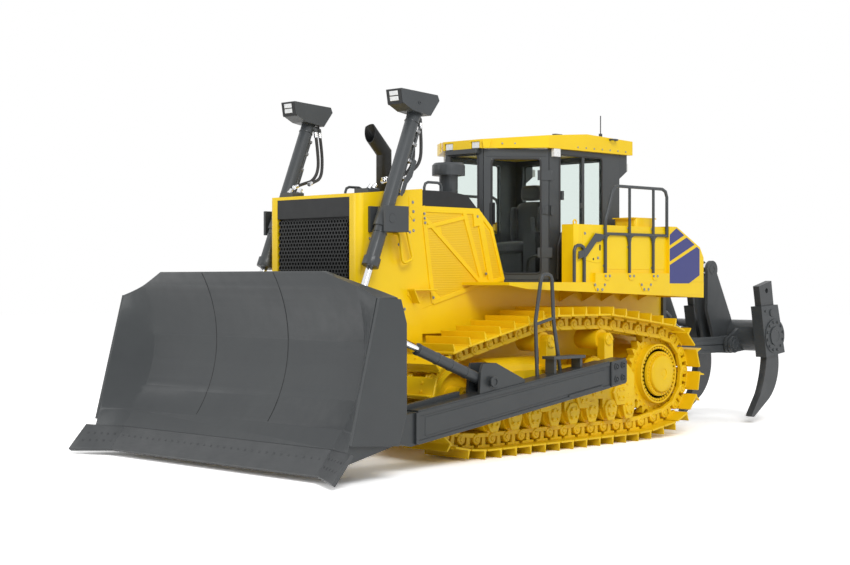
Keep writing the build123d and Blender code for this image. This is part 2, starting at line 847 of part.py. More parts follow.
def cab_front_wall():
    """The wall in front of the seat, with the fixed corner panels that the doors are cut back for."""
    tall = (cab_floor_z, cab_wall_top)
    wall = deck_plate(cab_wall_plan(0, 5, 0), tall) - front_window(0)
    corner = deck_plate(cab_wall_plan(1, 0, 0), tall) & door_prism(door_corner(2 * door_gap), (-cab_wall, 2 * cab_wall))
    for piece in across(corner):
        wall += piece
    return [wall]


def front_window(play):
    half = cab_front_half - front_window_post - play
    return block((cab_front - cab_wall, cab_front), (-half, half), (front_window_low + play, window_top - play))


def side_window(play):
    return block((side_window_x[0] - play, side_window_x[1] + play),
                 (cab_half_width - cab_wall, cab_half_width), (window_low + play, window_top - play))


def rear_window(play):
    half = cab_half_width - cab_wall - rear_window_post - play
    return block((cab_rear, cab_rear + cab_wall), (-half, half), (rear_window_low + play, window_top - play))


def cab_side_walls():
    return across(deck_plate(cab_wall_plan(1, 2, 0), (cab_floor_z, cab_wall_top)) - side_window(0))


def cab_rear_wall():
    """The wall behind the seat and the housing that hangs over it under the roof."""
    wall = deck_plate(cab_wall_plan(2, 3, 0), (cab_floor_z, cab_wall_top)) - rear_window(0)
    rear = cab_rear - overhang_reach
    housing = side_plate([(cab_rear, overhang_low), (rear, overhang_low + overhang_slope), (rear, cab_wall_top),
                          (cab_rear, cab_wall_top)], (-cab_half_width, cab_half_width))
    half = cab_half_width - cab_wall - rear_window_post
    housing -= block((rear, cab_rear), (-half, half), (overhang_low, window_top))
    return [wall + housing]


def cab_windows():
    """Flat panes in the middle of the walls' thickness."""
    middle_x = cab_front - cab_wall / 2
    everywhere = (-2 * cab_half_width, 2 * cab_half_width)
    tall = (cab_floor_z, cab_wall_top)
    front = front_window(seat_gap) & block((middle_x - pane / 2, middle_x + pane / 2), everywhere, tall)
    middle_y = cab_half_width - cab_wall / 2
    side = side_window(seat_gap) & block((cab_rear, cab_front), (middle_y - pane / 2, middle_y + pane / 2), tall)
    middle_x = cab_rear + cab_wall / 2
    rear = rear_window(seat_gap) & block((middle_x - pane / 2, middle_x + pane / 2), everywhere, tall)
    return [front] + across(side) + [rear]


def door_plane():
    """The door's own frame: X from the hinge edge to the front, Y up, Z into the cab."""
    hinge_edge = Vector(cab_corner_x, cab_half_width, 0)
    front_edge = Vector(cab_front, cab_front_half, 0)
    ahead = (front_edge - hinge_edge).normalized()
    return Plane(hinge_edge, x_dir=ahead, z_dir=Vector(ahead.Y, -ahead.X, 0))


def door_width():
    return hypot(cab_front - cab_corner_x, cab_half_width - cab_front_half)


def door_piece(x, z, depth):
    """A box in the door's frame: along the door, up, and inwards from the outer face."""
    return door_plane() * block(x, z, depth)


def door_prism(outline, depth):
    """An outline along the door and up, carried inwards from the outer face between two depths."""
    face = make_face(Polyline(*[(along, up, min(depth)) for along, up in outline], close=True))
    return door_plane() * extrude(face, amount=abs(depth[1] - depth[0]), dir=(0, 0, 1))


def door_corner(shift):
    """The triangle cut off the door's lower front corner, moved towards the front by a shift."""
    slope = door_cut[1] / door_cut[0]
    start, beyond = door_width() - door_cut[0] + shift, door_width() + cab_wall
    return [(start, cab_floor_z), (beyond, cab_floor_z), (beyond, cab_floor_z + (beyond - start) * slope)]


def door_window(play):
    """The window's outline, at the same distance from all edges of the door but the sill and the header."""
    slope = door_cut[1] / door_cut[0]
    cut_low = door_width() - door_cut[0] - door_frame * hypot(1, slope) / slope - play
    rear, front = door_frame + play, door_width() - door_frame - play
    low, top = cab_floor_z + door_sill + play, door_window_top - play
    return [(rear, low), (cut_low + (low - cab_floor_z) / slope, low), (front, cab_floor_z + (front - cut_low) * slope),
            (front, top), (rear, top)]


def door_leaf():
    leaf = deck_plate(cab_wall_plan(1, 0, door_gap), (cab_floor_z + door_gap, cab_wall_top - door_gap))
    leaf -= door_prism(door_corner(0), (-cab_wall, 2 * cab_wall))
    leaf -= door_prism(door_window(0), (-10, cab_wall + 10))
    hinge = hinge_point()
    knuckle_x = door_plane().to_local_coords(Vector(*hinge, 0)).X
    for height in (cab_floor_z + 250, cab_wall_top - 350):
        leaf += rod((*hinge, height), (*hinge, height + hinge_height), door_hinge_radius)
        leaf += door_piece((knuckle_x, hinge_strap), (height, height + hinge_height), (-8, 0))
    return leaf


def hinge_point():
    return (cab_corner_x - door_gap - door_hinge_radius, cab_half_width + door_hinge_radius + seat_gap)


def door_glass_pane():
    return door_prism(door_window(seat_gap), (cab_wall / 2 - pane / 2, cab_wall / 2 + pane / 2))


def cab_roof():
    """A slab that rises from the front to a crest behind the doors and falls a little to the rear."""
    crown = [(roof_front, cab_wall_top), (roof_front, roof_top_front), (roof_crest_x, roof_top_rear),
             (roof_rear, roof_top_rear - roof_fall), (roof_rear, cab_wall_top)]
    plan = [(roof_front, cab_front_half), (cab_corner_x + 70, roof_half_width), (roof_rear, roof_half_width)]
    plan += [(x, -y) for x, y in reversed(plan)]
    roof = side_plate(crown, (-roof_half_width, roof_half_width)) & deck_plate(plan, (cab_wall_top, roof_top_rear))
    for hand in (-1, 1):
        outer = hand * (cab_front_half - 20)
        roof -= block((roof_front - 90, roof_front), (outer, outer - hand * roof_lamp),
                      (cab_wall_top, cab_wall_top + 75))
    return [roof]


def roof_height(x):
    """Height of the roof's upper face behind its crest."""
    return roof_top_rear - roof_fall * (roof_crest_x - x) / (roof_crest_x - roof_rear)


def roof_lamps():
    """Work lamps under the roof's front edge and at its sides."""
    lamps = []
    for hand in (-1, 1):
        middle = hand * (cab_front_half - 20 - roof_lamp / 2)
        lamps.append(block((roof_front - 90 + seat_gap, roof_front - 10), (middle - 55, middle + 55),
                           (cab_wall_top + 5, cab_wall_top + 75 - seat_gap)))
    under_roof = (cab_wall_top - 90, cab_wall_top)
    side = block((cab_corner_x - 140, cab_corner_x - 30), (cab_half_width + 2, roof_half_width - 4), under_roof)
    back = cab_rear - overhang_reach
    rear = block((back - 60, back), (cab_half_width - 150, cab_half_width - 30), (overhang_low + 100, overhang_low + 190))
    return lamps + across(side) + across(rear)


def operator_seat():
    cushion = block(seat_x, (-seat_half_width, seat_half_width), (seat_height - 140, seat_height))
    base = block((seat_x[0] + 80, seat_x[1] - 80), (-170, 170), (cab_floor_z, seat_height - 130))
    back = side_plate([(seat_x[0], seat_height - 100), (seat_x[0] + 130, seat_height - 100),
                       (seat_x[0] + 60, seat_back_top), (seat_x[0] - 60, seat_back_top)],
                      (-seat_half_width + 20, seat_half_width - 20))
    return [cushion + base + back]


def cab_console():
    box = block((seat_x[0] + 60, seat_x[1] + 60), console_y, (cab_floor_z, seat_height + 90))
    middle = sum(console_y) / 2
    stick = rod((seat_x[1] - 20, middle, seat_height + 80), (seat_x[1] + 10, middle, seat_height + 260), 22)
    return across(box + stick)


def antenna():
    x, y = antenna_at
    seat = roof_height(x + antenna_foot) + seat_gap
    return [rod((x, y, seat), (x, y, seat + 40), antenna_foot) + rod((x, y, seat), (x, y, seat + antenna_length), 6)]


# Push arms and blade
def push_arms():
    outline = [(arm_rear_x, arm_rear_z[0]), (arm_front_x, arm_front_z[0]),
               (arm_pin[0], arm_pin[1] - arm_eye_radius), (arm_pin[0], arm_pin[1] + arm_eye_radius),
               (arm_front_x, arm_front_z[1]), (arm_rear_x, arm_rear_z[1])]
    arm = side_plate(outline, (arm_inner, arm_outer)) + drum(arm_pin, (arm_inner, arm_outer), arm_eye_radius)
    slot_half = brace_radius + swing_gap
    bracket = side_plate([(brace_foot[0] + ahead, up) for ahead, up in bracket_outline],
                         (brace_y - slot_half - ear_plate, brace_y + slot_half + ear_plate))
    slot_rear = brace_foot[0] - brace_eye_radius - 20
    slot = side_plate([(brace_foot[0] + 400, 690), (brace_foot[0] + 400, 1100), (brace_foot[0] - 30, 1100),
                       (slot_rear, brace_foot[1] + 60), (slot_rear, brace_foot[1] - brace_eye_radius - 12)],
                      (brace_y - slot_half, brace_y + slot_half))
    arm += bracket - slot
    arm += drum(brace_foot, (brace_y - slot_half - 5, brace_y + slot_half + 5), brace_pin_radius)
    arm -= drum(arm_pivot, (arm_inner - 1, arm_outer - 60), trunnion_radius + pin_play)
    arm -= drum(arm_pin, (arm_inner - 1, arm_outer + 1), arm_pin_radius + pin_play)
    return across(arm)


def arm_ladder():
    """The step and the looped grab rail on the left push arm."""
    rail_y = arm_inner + ladder_inset
    loop = [(x, arm_top(x)) for x in ladder_feet[:1]] + list(ladder_loop) + [(x, arm_top(x)) for x in ladder_feet[1:]]
    rail = tube_run([at_y(point, rail_y) for point in loop], ladder_tube, ladder_bend)
    rail += rod(*[at_y(point, rail_y) for point in ladder_rung], rung_tube)
    step = block(step_x, (arm_inner + step_inset, arm_outer - step_inset), (step_top - step_plate, step_top))
    for place in step_legs:
        step += block((place - step_leg_half, place + step_leg_half),
                      (arm_inner + 2 * step_inset, arm_outer - 2 * step_inset),
                      (arm_top(place) - step_plate, step_top - step_plate / 2))
    step -= push_arms()[0]
    rail -= push_arms()[0]
    return [rail, step]


def arm_top(x):
    """Height of the push arm's upper face."""
    share = (x - arm_rear_x) / (arm_front_x - arm_rear_x)
    return arm_rear_z[1] + share * (arm_front_z[1] - arm_rear_z[1])


def lip_points():
    """Where the cutting edge's plate seats on the blade's lip."""
    length = span(edge_top, edge_low)
    down = ((edge_low[0] - edge_top[0]) / length, (edge_low[1] - edge_top[1]) / length)
    back = (down[1], -down[0])
    seat = (edge_top[0] + back[0] * edge_thickness, edge_top[1] + back[1] * edge_thickness)
    end = (seat[0] + down[0] * lip_length, seat[1] + down[1] * lip_length)
    low_back = (edge_low[0] + back[0] * edge_thickness, edge_low[1] + back[1] * edge_thickness)
    return seat, end, low_back


def blade_rear_outline():
    seat, end, _ = lip_points()
    return [end, blade_back_low, (blade_back, blade_back_z[0]), (blade_back, blade_back_z[1]), blade_back_top,
            (blade_top[0] - blade_top_thickness, blade_top[1])]


def blade_section(y, front, seat_shift=0):
    """One upright section of the blade, from its front edges and the rear that all sections share."""
    seat, end, _ = lip_points()
    rear = blade_rear_outline()
    top, lip_top = front @ 0, front @ 1
    rear[0] = (end[0] + seat_shift, end[1])
    rear[-1] = (top.X - blade_top_thickness, top.Z)
    points = [(lip_top.X, lip_top.Z), (seat[0] + seat_shift, seat[1]), *rear, (top.X, top.Z)]
    return make_face(front + Polyline(*[at_y(p, y) for p in points]))


def middle_front(y):
    """The hollow front of the middle: an arc, then the straight run down to the cutting edge."""
    arc = ThreePointArc(at_y(blade_top, y), at_y(blade_hollow, y), at_y(blade_knee, y))
    return arc + Line(at_y(blade_knee, y), at_y(edge_top, y))


def wing_end_front(y):
    """The front edge at the end of a wing, nearly straight, in two runs to match the middle's."""
    top, knee, low = [at_y(point, y) for point in wing_front]
    return Line(top, knee) + Line(knee, low)


def blade_middle():
    y = blade_mid_half
    return extrude(blade_section(-y, middle_front(-y)), amount=2 * y, dir=(0, 1, 0))


def wing():
    """The end of the blade, which comes forward from the hollow middle to a straight edge."""
    inner = blade_section(blade_mid_half, middle_front(blade_mid_half))
    outer = blade_section(blade_half_width, wing_end_front(blade_half_width), wing_front[-1][0] - edge_top[0])
    return loft([inner, outer], ruled=True)


def blade_shell():
    """Curved middle, wings that come forward to a straight edge, and a sloped top at each end."""
    board = blade_middle()
    for piece in across(wing()):
        board += piece
    for hand in (-1, 1):
        beyond, above = blade_half_width + 1, blade_top[1] + 1
        corner = [(hand * blade_top_half, blade_top[1]), (hand * beyond, blade_shoulder_z), (hand * beyond, above),
                  (hand * blade_top_half, above)]
        board -= cross_plate(corner, (blade_back - 200, blade_top[0] + 500))
    return board


def clevis_cheeks(at, radius, gap_y, reach, rise):
    """A pair of lugs on the blade's back, round at the pin, either side of a gap."""
    cheeks = []
    for y in ((gap_y[0] - clevis_plate, gap_y[0]), (gap_y[1], gap_y[1] + clevis_plate)):
        lug = side_plate([(at[0], at[1] - radius), (reach, at[1] - radius - rise), (reach, at[1] + radius + rise),
                          (at[0], at[1] + radius)], y)
        cheeks.append(lug + drum(at, y, radius))
    return cheeks


def blade():
    board = blade_shell()
    pin_cap = arm_outer + swing_gap + clevis_plate
    lugs = clevis_cheeks(arm_pin, 95, (arm_inner - swing_gap, arm_outer + swing_gap), blade_back + 110, 10)
    lugs.append(drum(arm_pin, (arm_inner - swing_gap - 5, arm_outer + swing_gap + 5), arm_pin_radius))
    lugs.append(drum(arm_pin, (pin_cap - 1, pin_cap + 40), 72))
    gap = brace_eye_half + swing_gap
    lugs += clevis_cheeks(brace_head, 75, (brace_y - gap, brace_y + gap), blade_back + 20, 120)
    gap = lift_eye_half + swing_gap
    lugs += clevis_cheeks(lift_eye, 85, (lift_y - gap, lift_y + gap), blade_back + 20, 80)
    for lug in lugs:
        for piece in across(lug):
            board += piece
    return [board]


def blade_end_plates():
    outline = list(end_plate_front) + list(reversed(end_plate_rear))
    return across(side_plate(outline, (blade_half_width, blade_half_width + end_plate)))


def cutting_edge():
    seat, _, low_back = lip_points()
    return [side_plate([edge_top, edge_low, low_back, seat], (-edge_half_width, edge_half_width))]


def end_bits():
    """Corner bits that flare out and forward from the cutting edge."""
    seat, _, low_back = lip_points()
    back = (seat[0] - edge_top[0], seat[1] - edge_top[1])
    inner = [edge_top, edge_low, low_back, seat]
    tip_back = [(p[0] + back[0], p[1] + back[1]) for p in (bit_tip, bit_top_tip)]
    outer = [bit_top_tip, bit_tip, *tip_back]
    faces = [make_face(Polyline(*[at_y(p, y) for p in outline], close=True))
             for outline, y in ((inner, edge_half_width), (outer, blade_half_width + bit_reach))]
    bit = loft(faces, ruled=True)
    return across(bit - blade_shell())


# Hydraulic cylinders: a barrel with its eye, and a rod that slides in it
def cylinder_pair(foot, head, y, radii, eye, foot_eye, shares, stroke):
    """Barrel pinned at foot and rod pinned at head, both eyes across the machine.

    radii are the barrel's and the rod's, eye is the rod eye's radius and half width, foot_eye is the radius of
    the barrel's eye and of its pin, shares say how far the barrel reaches and where the rod starts, and stroke is
    the bore behind the rod.
    """
    length = span(foot, head)
    barrel_radius, rod_radius = radii
    eye_radius, eye_half = eye
    foot_radius, pin_radius = foot_eye
    barrel_end, rod_start = [share * length for share in shares]

    def at(distance):
        return at_y(along_line(foot, head, distance), y)

    barrel = rod(at(0), at(barrel_end), barrel_radius)
    barrel += drum(foot, (y - barrel_radius, y + barrel_radius), foot_radius)
    barrel -= rod(at(rod_start - stroke), at(barrel_end + 1), rod_radius + pin_play)
    barrel -= drum(foot, (y - 2 * barrel_radius, y + 2 * barrel_radius), pin_radius + pin_play)
    shaft = rod(at(rod_start), at(length), rod_radius)
    shaft += drum(head, (y - eye_half, y + eye_half), eye_radius)
    return barrel, shaft


def lift_barrel():
    barrel = rod(on_lift(-lift_barrel_up), on_lift(lift_barrel_down), lift_barrel_radius)
    barrel += rod(on_lift(-lift_collar), on_lift(lift_collar), lift_collar_radius)
    barrel += rod(on_lift(lift_barrel_down - lift_collar), on_lift(lift_barrel_down), lift_collar_radius)
    ear_inner, ear_outer = lift_yoke_faces()
    barrel += drum(lift_trunnion, (ear_inner - yoke_ear + 2, ear_outer + yoke_ear), lift_pin_radius)
    for route in hose_routes:
        start = Vector(*route[0])
        port_end = start + (start - Vector(*route[1])).normalized() * hose_port_length
        barrel += rod(start, port_end, hose_port_radius)
        share = (port_end.Z - lift_trunnion[1]) / (lift_eye[1] - lift_trunnion[1])
        axis_x = lift_trunnion[0] + share * (lift_eye[0] - lift_trunnion[0])
        barrel += rod(port_end, (axis_x, lift_y, port_end.Z), hose_port_radius)
    barrel -= rod(on_lift(60 - lift_barrel_up), on_lift(lift_barrel_down + 1), lift_rod_radius + pin_play)
    return barrel


def hose(route):
    """A free hose along straight runs and arcs, each arc as large as its two runs allow."""
    corners = [Vector(*point) for point in route]
    path, start = None, corners[0]
    for before, corner, after in zip(corners, corners[1:], corners[2:]):
        half_turn = (pi - (before - corner).get_angle(after - corner) * pi / 180) / 2
        shorter = min((before - corner).length, (after - corner).length)
        arc_start, middle, arc_end = arc_at(before, corner, after, 0.45 * shorter / tan(half_turn))
        piece = Line(start, arc_start) + ThreePointArc(arc_start, middle, arc_end)
        path = piece if path is None else path + piece
        start = arc_end
    path += Line(start, corners[-1])
    return sweep(Plane(corners[0], z_dir=corners[1] - corners[0]) * Circle(hose_radius), path=path)


def on_lift(distance):
    """A point on the left lift cylinder's line, from the trunnion towards the eye."""
    return at_y(along_line(lift_trunnion, lift_eye, distance), lift_y)


def lift_yoke_faces():
    """The faces of the yoke's ears that look at the barrel."""
    return guard_half_width + yoke_ear, 2 * lift_y - guard_half_width - yoke_ear


def lift_rod():
    shaft = rod(on_lift(-lift_rod_top), at_y(lift_eye, lift_y), lift_rod_radius)
    return shaft + drum(lift_eye, (lift_y - lift_eye_half, lift_y + lift_eye_half), lift_eye_radius)


def lift_yokes():
    """Forked brackets on the guard's sides that hold the barrels' trunnions."""
    ear_inner, ear_outer = lift_yoke_faces()
    yoke = block((yoke_x[0], yoke_x[0] + yoke_web), (guard_half_width, ear_outer + yoke_ear), yoke_z)
    for face in ((guard_half_width, ear_inner), (ear_outer, ear_outer + yoke_ear)):
        yoke += block(yoke_x, face, yoke_z)
    yoke -= drum(lift_trunnion, (guard_half_width, ear_outer + yoke_ear + 1), lift_pin_radius + pin_play)
    return across(yoke)


def lift_lamps():
    housing = side_plate(lamp_outline, (lift_y - lamp_half_width, lift_y + lamp_half_width))
    return across(housing - rod(on_lift(0), on_lift(-lift_barrel_up), lift_barrel_radius))


def brace_pair():
    return cylinder_pair(brace_foot, brace_head, brace_y, (brace_radius, brace_rod_radius),
                         (brace_eye_radius, brace_eye_half), (brace_eye_radius, brace_pin_radius), brace_shares,
                         brace_stroke)


# Ripper: a parallel linkage behind the hull
def ripper_support():
    """A plate on the hull's rear with pairs of lugs and pins for the arms and for both sets of cylinders."""
    arm_middle, arm_half = sum(ripper_arm_y) / 2, (ripper_arm_y[1] - ripper_arm_y[0]) / 2
    seats = (
        (ripper_foot, arm_middle, arm_half, ripper_pin_radius, 105, (830, 1300)),
        (tilt_foot(), tower_y, tilt_barrel_radius, tilt_pin_radius, 95, (1500, tilt_foot()[1] + 40)),
        (ripper_lift_head, ripper_lift_y, ripper_lift_radius, ripper_lift_pin_radius, 90, (1450, 1760)),
    )
    base_half = hull_half_width + 130
    frame = block((hull_rear - 60, hull_rear), (-base_half, base_half), (hull_low + 200, deck_z))
    for pin, middle, half, pin_radius, lug_radius, root_z in seats:
        root = hull_rear - 40
        outline = [(root, root_z[0]), (pin[0], pin[1] - lug_radius), (pin[0], pin[1] + lug_radius), (root, root_z[1])]
        inner, outer = middle - half - swing_gap, middle + half + swing_gap
        lugs = [drum(pin, (inner - 5, outer + 5), pin_radius)]
        for y in ((inner - support_plate, inner), (outer, outer + support_plate)):
            lugs.append(side_plate(outline, y) + drum(pin, y, lug_radius))
        for lug in lugs:
            for piece in across(lug):
                frame += piece
    return [frame]


def tilt_foot():
    """The cylinder's pin on the hull: the arm, cylinder, tower and support make a parallelogram."""
    return (tower_pin[0] + ripper_foot[0] - ripper_hinge[0], tower_pin[1] + ripper_foot[1] - ripper_hinge[1])


def ripper_arm():
    half = ripper_arm_half_height
    side = side_plate([(ripper_foot[0], ripper_foot[1] - half), (ripper_hinge[0], ripper_hinge[1] - half),
                       (ripper_hinge[0], ripper_hinge[1] + half), (ripper_foot[0], ripper_foot[1] + half)], ripper_arm_y)
    side += drum(ripper_hinge, ripper_arm_y, ripper_boss_radius)
    side += drum(ripper_foot, ripper_arm_y, ripper_boss_radius - 10)
    for pin in (ripper_foot, ripper_hinge):
        side -= drum(pin, (0, 2 * ripper_arm_y[1]), ripper_pin_radius + pin_play)
    cross_at = (ripper_lift_eye[0], ripper_hinge[1])
    arm = drum(cross_at, (-ripper_arm_y[0] - 10, ripper_arm_y[0] + 10), ripper_cross_radius)
    for piece in across(side):
        arm += piece
    gap = ripper_lift_eye_half + swing_gap
    eye_x, eye_top = ripper_lift_eye[0], ripper_lift_eye[1] + 70
    outline = [(eye_x - 70, cross_at[1]), (eye_x + 70, cross_at[1]), (eye_x + 60, eye_top), (eye_x - 60, eye_top)]
    for y in (ripper_lift_y - gap - ear_plate, ripper_lift_y + gap):
        lug = side_plate(outline, (y, y + ear_plate))
        for piece in across(lug):
            arm += piece
    return [arm]


def ripper_pins():
    """Pins through the arms' eyes and the beam's lugs, each with a flanged head outside the outer lug."""
    inner, outer = beam_lug_faces()
    head = outer + swing_gap
    pin = drum(ripper_hinge, (inner, head), ripper_pin_radius)
    return across(pin + drum(ripper_hinge, (head, head + pin_head_thickness), pin_head_radius))


def beam_lug_faces():
    """Outer faces of the lugs on each side of the ripper's arm."""
    return (ripper_arm_y[0] - swing_gap - tower_plate + 2, ripper_arm_y[1] + swing_gap + tower_plate - 2)


def ripper_beam():
    """Tube with towers for the tilt cylinders, lugs for the arms and slotted holders for the shanks."""
    beam = drum(ripper_tube_at, (-shank_places[2] + holder_half, shank_places[2] - holder_half), ripper_tube_radius)
    for place in shank_places:
        beam += side_plate(holder_outline, (place - holder_half, place + holder_half))
    tower = [(tower_pin[0] - 95, tower_pin[1] - 40), (tower_pin[0] + 105, tower_pin[1] - 40),
             (tower_pin[0] + 112, tower_knee_z), (ripper_hinge[0] + 80, ripper_hinge[1] - 78),
             (ripper_hinge[0], ripper_hinge[1] - 112),
             (ripper_tube_at[0], ripper_tube_at[1] - 120), (ripper_tube_at[0] + 110, 1310)]
    inner_y = tower_y - tower_gap_half - tower_plate
    outer_y = ripper_arm_y[0] - swing_gap - tower_plate
    for y in (inner_y, outer_y):
        plate = side_plate(tower, (y, y + tower_plate)) + drum(tower_pin, (y, y + tower_plate), tower_boss_radius)
        for piece in across(plate):
            beam += piece
    lug_y = (ripper_arm_y[1] + swing_gap, ripper_arm_y[1] + swing_gap + tower_plate)
    lug = side_plate([(ripper_hinge[0], ripper_hinge[1] - 110), (ripper_tube_at[0], ripper_tube_at[1] - 190),
                      (ripper_tube_at[0], ripper_tube_at[1] + 190), (ripper_hinge[0], ripper_hinge[1] + 110)], lug_y)
    lug += drum(ripper_hinge, lug_y, 110)
    for piece in across(lug):
        beam += piece
    for hand in (-1, 1):
        beam -= drum(ripper_hinge, (hand * (outer_y - 2), hand * 900), ripper_pin_radius + pin_play)
    for place in shank_places[::2]:
        hand = 1 if place > 0 else -1
        face = place + hand * holder_half
        beam += drum(ripper_tube_at, (face - hand, face + hand * hub_disc), hub_disc_radius)
    for place in shank_places:
        beam -= side_plate(shank_outline(1), (place - shank_half - seat_gap, place + shank_half + seat_gap))
        beam -= drum(shank_pin_at, (place - holder_half - 1, place + holder_half + 1), shank_pin_radius + pin_play)
    return [beam]


def shank_outline(play):
    """Front and rear faces of the straight stretch, moved apart by some play."""
    top_front, low_front = shank_front
    top_rear, low_rear = shank_rear
    return [(top_front[0] + play, top_front[1]), (low_front[0] + play, low_front[1]),
            (low_rear[0] - play, low_rear[1]), (top_rear[0] - play, top_rear[1])]


def ripper_shanks():
    """Curved shanks with a pointed tooth, a pin hole at the top and the pin that holds them."""
    shanks = []
    for place in shank_places:
        y = place - shank_half
        front = Polyline(*[at_y(p, y) for p in (shank_rear[0], shank_front[0], shank_front[1])])
        throat = ThreePointArc(at_y(shank_front[1], y), at_y(shank_throat[1], y), at_y(shank_throat[0], y))
        tooth = Polyline(*[at_y(p, y) for p in (shank_throat[0], shank_tip[1], shank_tip[0], shank_heel)])
        curve = ThreePointArc(at_y(shank_heel, y), at_y(shank_curve, y), at_y(shank_rear[1], y))
        back = Line(at_y(shank_rear[1], y), at_y(shank_rear[0], y))
        shank = extrude(make_face(front + throat + tooth + curve + back), amount=2 * shank_half, dir=(0, 1, 0))
        shank -= drum(shank_hole_at, (place - 200, place + 200), shank_hole_radius)
        shank += drum(shank_pin_at, (place - holder_half - 15, place + holder_half + 15), shank_pin_radius)
        shanks.append(shank)
    return shanks


def tilt_pair():
    return cylinder_pair(tilt_foot(), tower_pin, tower_y, (tilt_barrel_radius, tilt_rod_radius),
                         (tilt_eye_radius, tilt_eye_half), (tilt_foot_radius, tilt_pin_radius), tilt_shares,
                         tilt_stroke)


def ripper_lift_pair():
    return cylinder_pair(ripper_lift_head, ripper_lift_eye, ripper_lift_y,
                         (ripper_lift_radius, ripper_lift_rod_radius),
                         (ripper_lift_eye_radius, ripper_lift_eye_half),
                         (ripper_lift_foot_radius, ripper_lift_pin_radius), ripper_lift_shares,
                         ripper_lift_stroke)


brace_barrel, brace_rod = brace_pair()
tilt_barrel, tilt_rod = tilt_pair()
ripper_barrel, ripper_rod = ripper_lift_pair()

pieces = {
    "main_frame": main_frame(),
    "cross_shafts": cross_shafts(),
    "engine_block": engine_block(),
    "radiator_guard": radiator_guard(),
    "radiator_grille": radiator_grille(),
    "hood_top": hood_top(),
    "hood_sides": hood_sides(),
    "exhaust_pipe": exhaust_pipe(),
    "air_precleaner": air_precleaner(),
    "fenders": fenders(),
    "side_boxes": side_boxes(),
    "rear_boxes": rear_boxes(),
    "handrails": handrails(),
    "cab_floor": cab_floor(),
    "cab_front_wall": cab_front_wall(),
    "cab_side_walls": cab_side_walls(),
    "cab_rear_wall": cab_rear_wall(),
    "cab_windows": cab_windows(),
    "cab_roof": cab_roof(),
    "roof_lamps": roof_lamps(),
    "operator_seat": operator_seat(),
    "cab_console": cab_console(),
    "antenna": antenna(),
    "door_left": [door_leaf()],
    "door_glass_left": [door_glass_pane()],
    "door_right": [mirror(door_leaf(), about=Plane.XZ)],
    "door_glass_right": [mirror(door_glass_pane(), about=Plane.XZ)],
    "track_left": [track_loop(1)],
    "track_right": [track_loop(-1)],
    "track_frames": track_frames(),
    "idlers": idlers(),
    "sprockets": sprockets(),
    "final_drives": final_drives(),
    "bogies": bogies(),
    "track_rollers": track_rollers(),
    "push_arms": push_arms(),
    "arm_ladder": arm_ladder(),
    "moldboard": blade(),
    "blade_end_plates": blade_end_plates(),
    "cutting_edge": cutting_edge(),
    "end_bits": end_bits(),
    "lift_yokes": lift_yokes(),
    "lift_barrels": across(lift_barrel()),
    "lift_lamps": lift_lamps(),
    "lift_rods": across(lift_rod()),
    "lift_hose_left_front": [hose(hose_routes[0])],
    "lift_hose_left_rear": [hose(hose_routes[1])],
    "lift_hose_right_front": [mirror(hose(hose_routes[0]), about=Plane.XZ)],
    "lift_hose_right_rear": [mirror(hose(hose_routes[1]), about=Plane.XZ)],
    "brace_barrels": across(brace_barrel),
    "brace_rods": across(brace_rod),
    "ripper_support": ripper_support(),
    "ripper_arm": ripper_arm(),
    "ripper_pins": ripper_pins(),
    "ripper_beam": ripper_beam(),
    "ripper_shanks": ripper_shanks(),
    "ripper_tilt_barrels": across(tilt_barrel),
    "ripper_tilt_rods": across(tilt_rod),
    "ripper_lift_barrels": across(ripper_barrel),
    "ripper_lift_rods": across(ripper_rod),
}

os.makedirs("parts", exist_ok=True)
for node, solids in pieces.items():
    bodies = [solid for shape in solids for solid in shape.solids()]
    export_step(Compound(children=bodies), f"parts/{node}.step")
print("track pitch", round(track_pitch(), 1), "nodes", len(pieces))
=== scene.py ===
import json
import math

import bpy
import numpy as np
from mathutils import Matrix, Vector


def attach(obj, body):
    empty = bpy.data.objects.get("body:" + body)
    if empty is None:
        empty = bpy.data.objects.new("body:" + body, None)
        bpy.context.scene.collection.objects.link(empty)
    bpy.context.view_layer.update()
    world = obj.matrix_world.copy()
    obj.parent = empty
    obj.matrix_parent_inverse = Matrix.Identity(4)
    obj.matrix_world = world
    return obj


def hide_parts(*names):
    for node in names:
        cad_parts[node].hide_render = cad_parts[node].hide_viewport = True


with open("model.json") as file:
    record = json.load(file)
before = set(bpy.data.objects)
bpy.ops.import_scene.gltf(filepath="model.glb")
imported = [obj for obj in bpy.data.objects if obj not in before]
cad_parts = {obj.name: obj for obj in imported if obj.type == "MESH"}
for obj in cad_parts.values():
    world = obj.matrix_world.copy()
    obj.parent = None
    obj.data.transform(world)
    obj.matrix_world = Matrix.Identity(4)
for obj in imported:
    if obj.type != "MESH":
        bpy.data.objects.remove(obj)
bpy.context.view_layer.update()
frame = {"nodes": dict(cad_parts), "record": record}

nodes = frame["nodes"]
print("frame loaded:", len(nodes), "nodes")

# camera fitted to the photograph, in metres and degrees
view = dict(place=(13.135, 11.855, 1.784), yaw=44.661, pitch=-0.059, focalPixels=1557.6, pixelWidth=850,
            sensor=36.0)


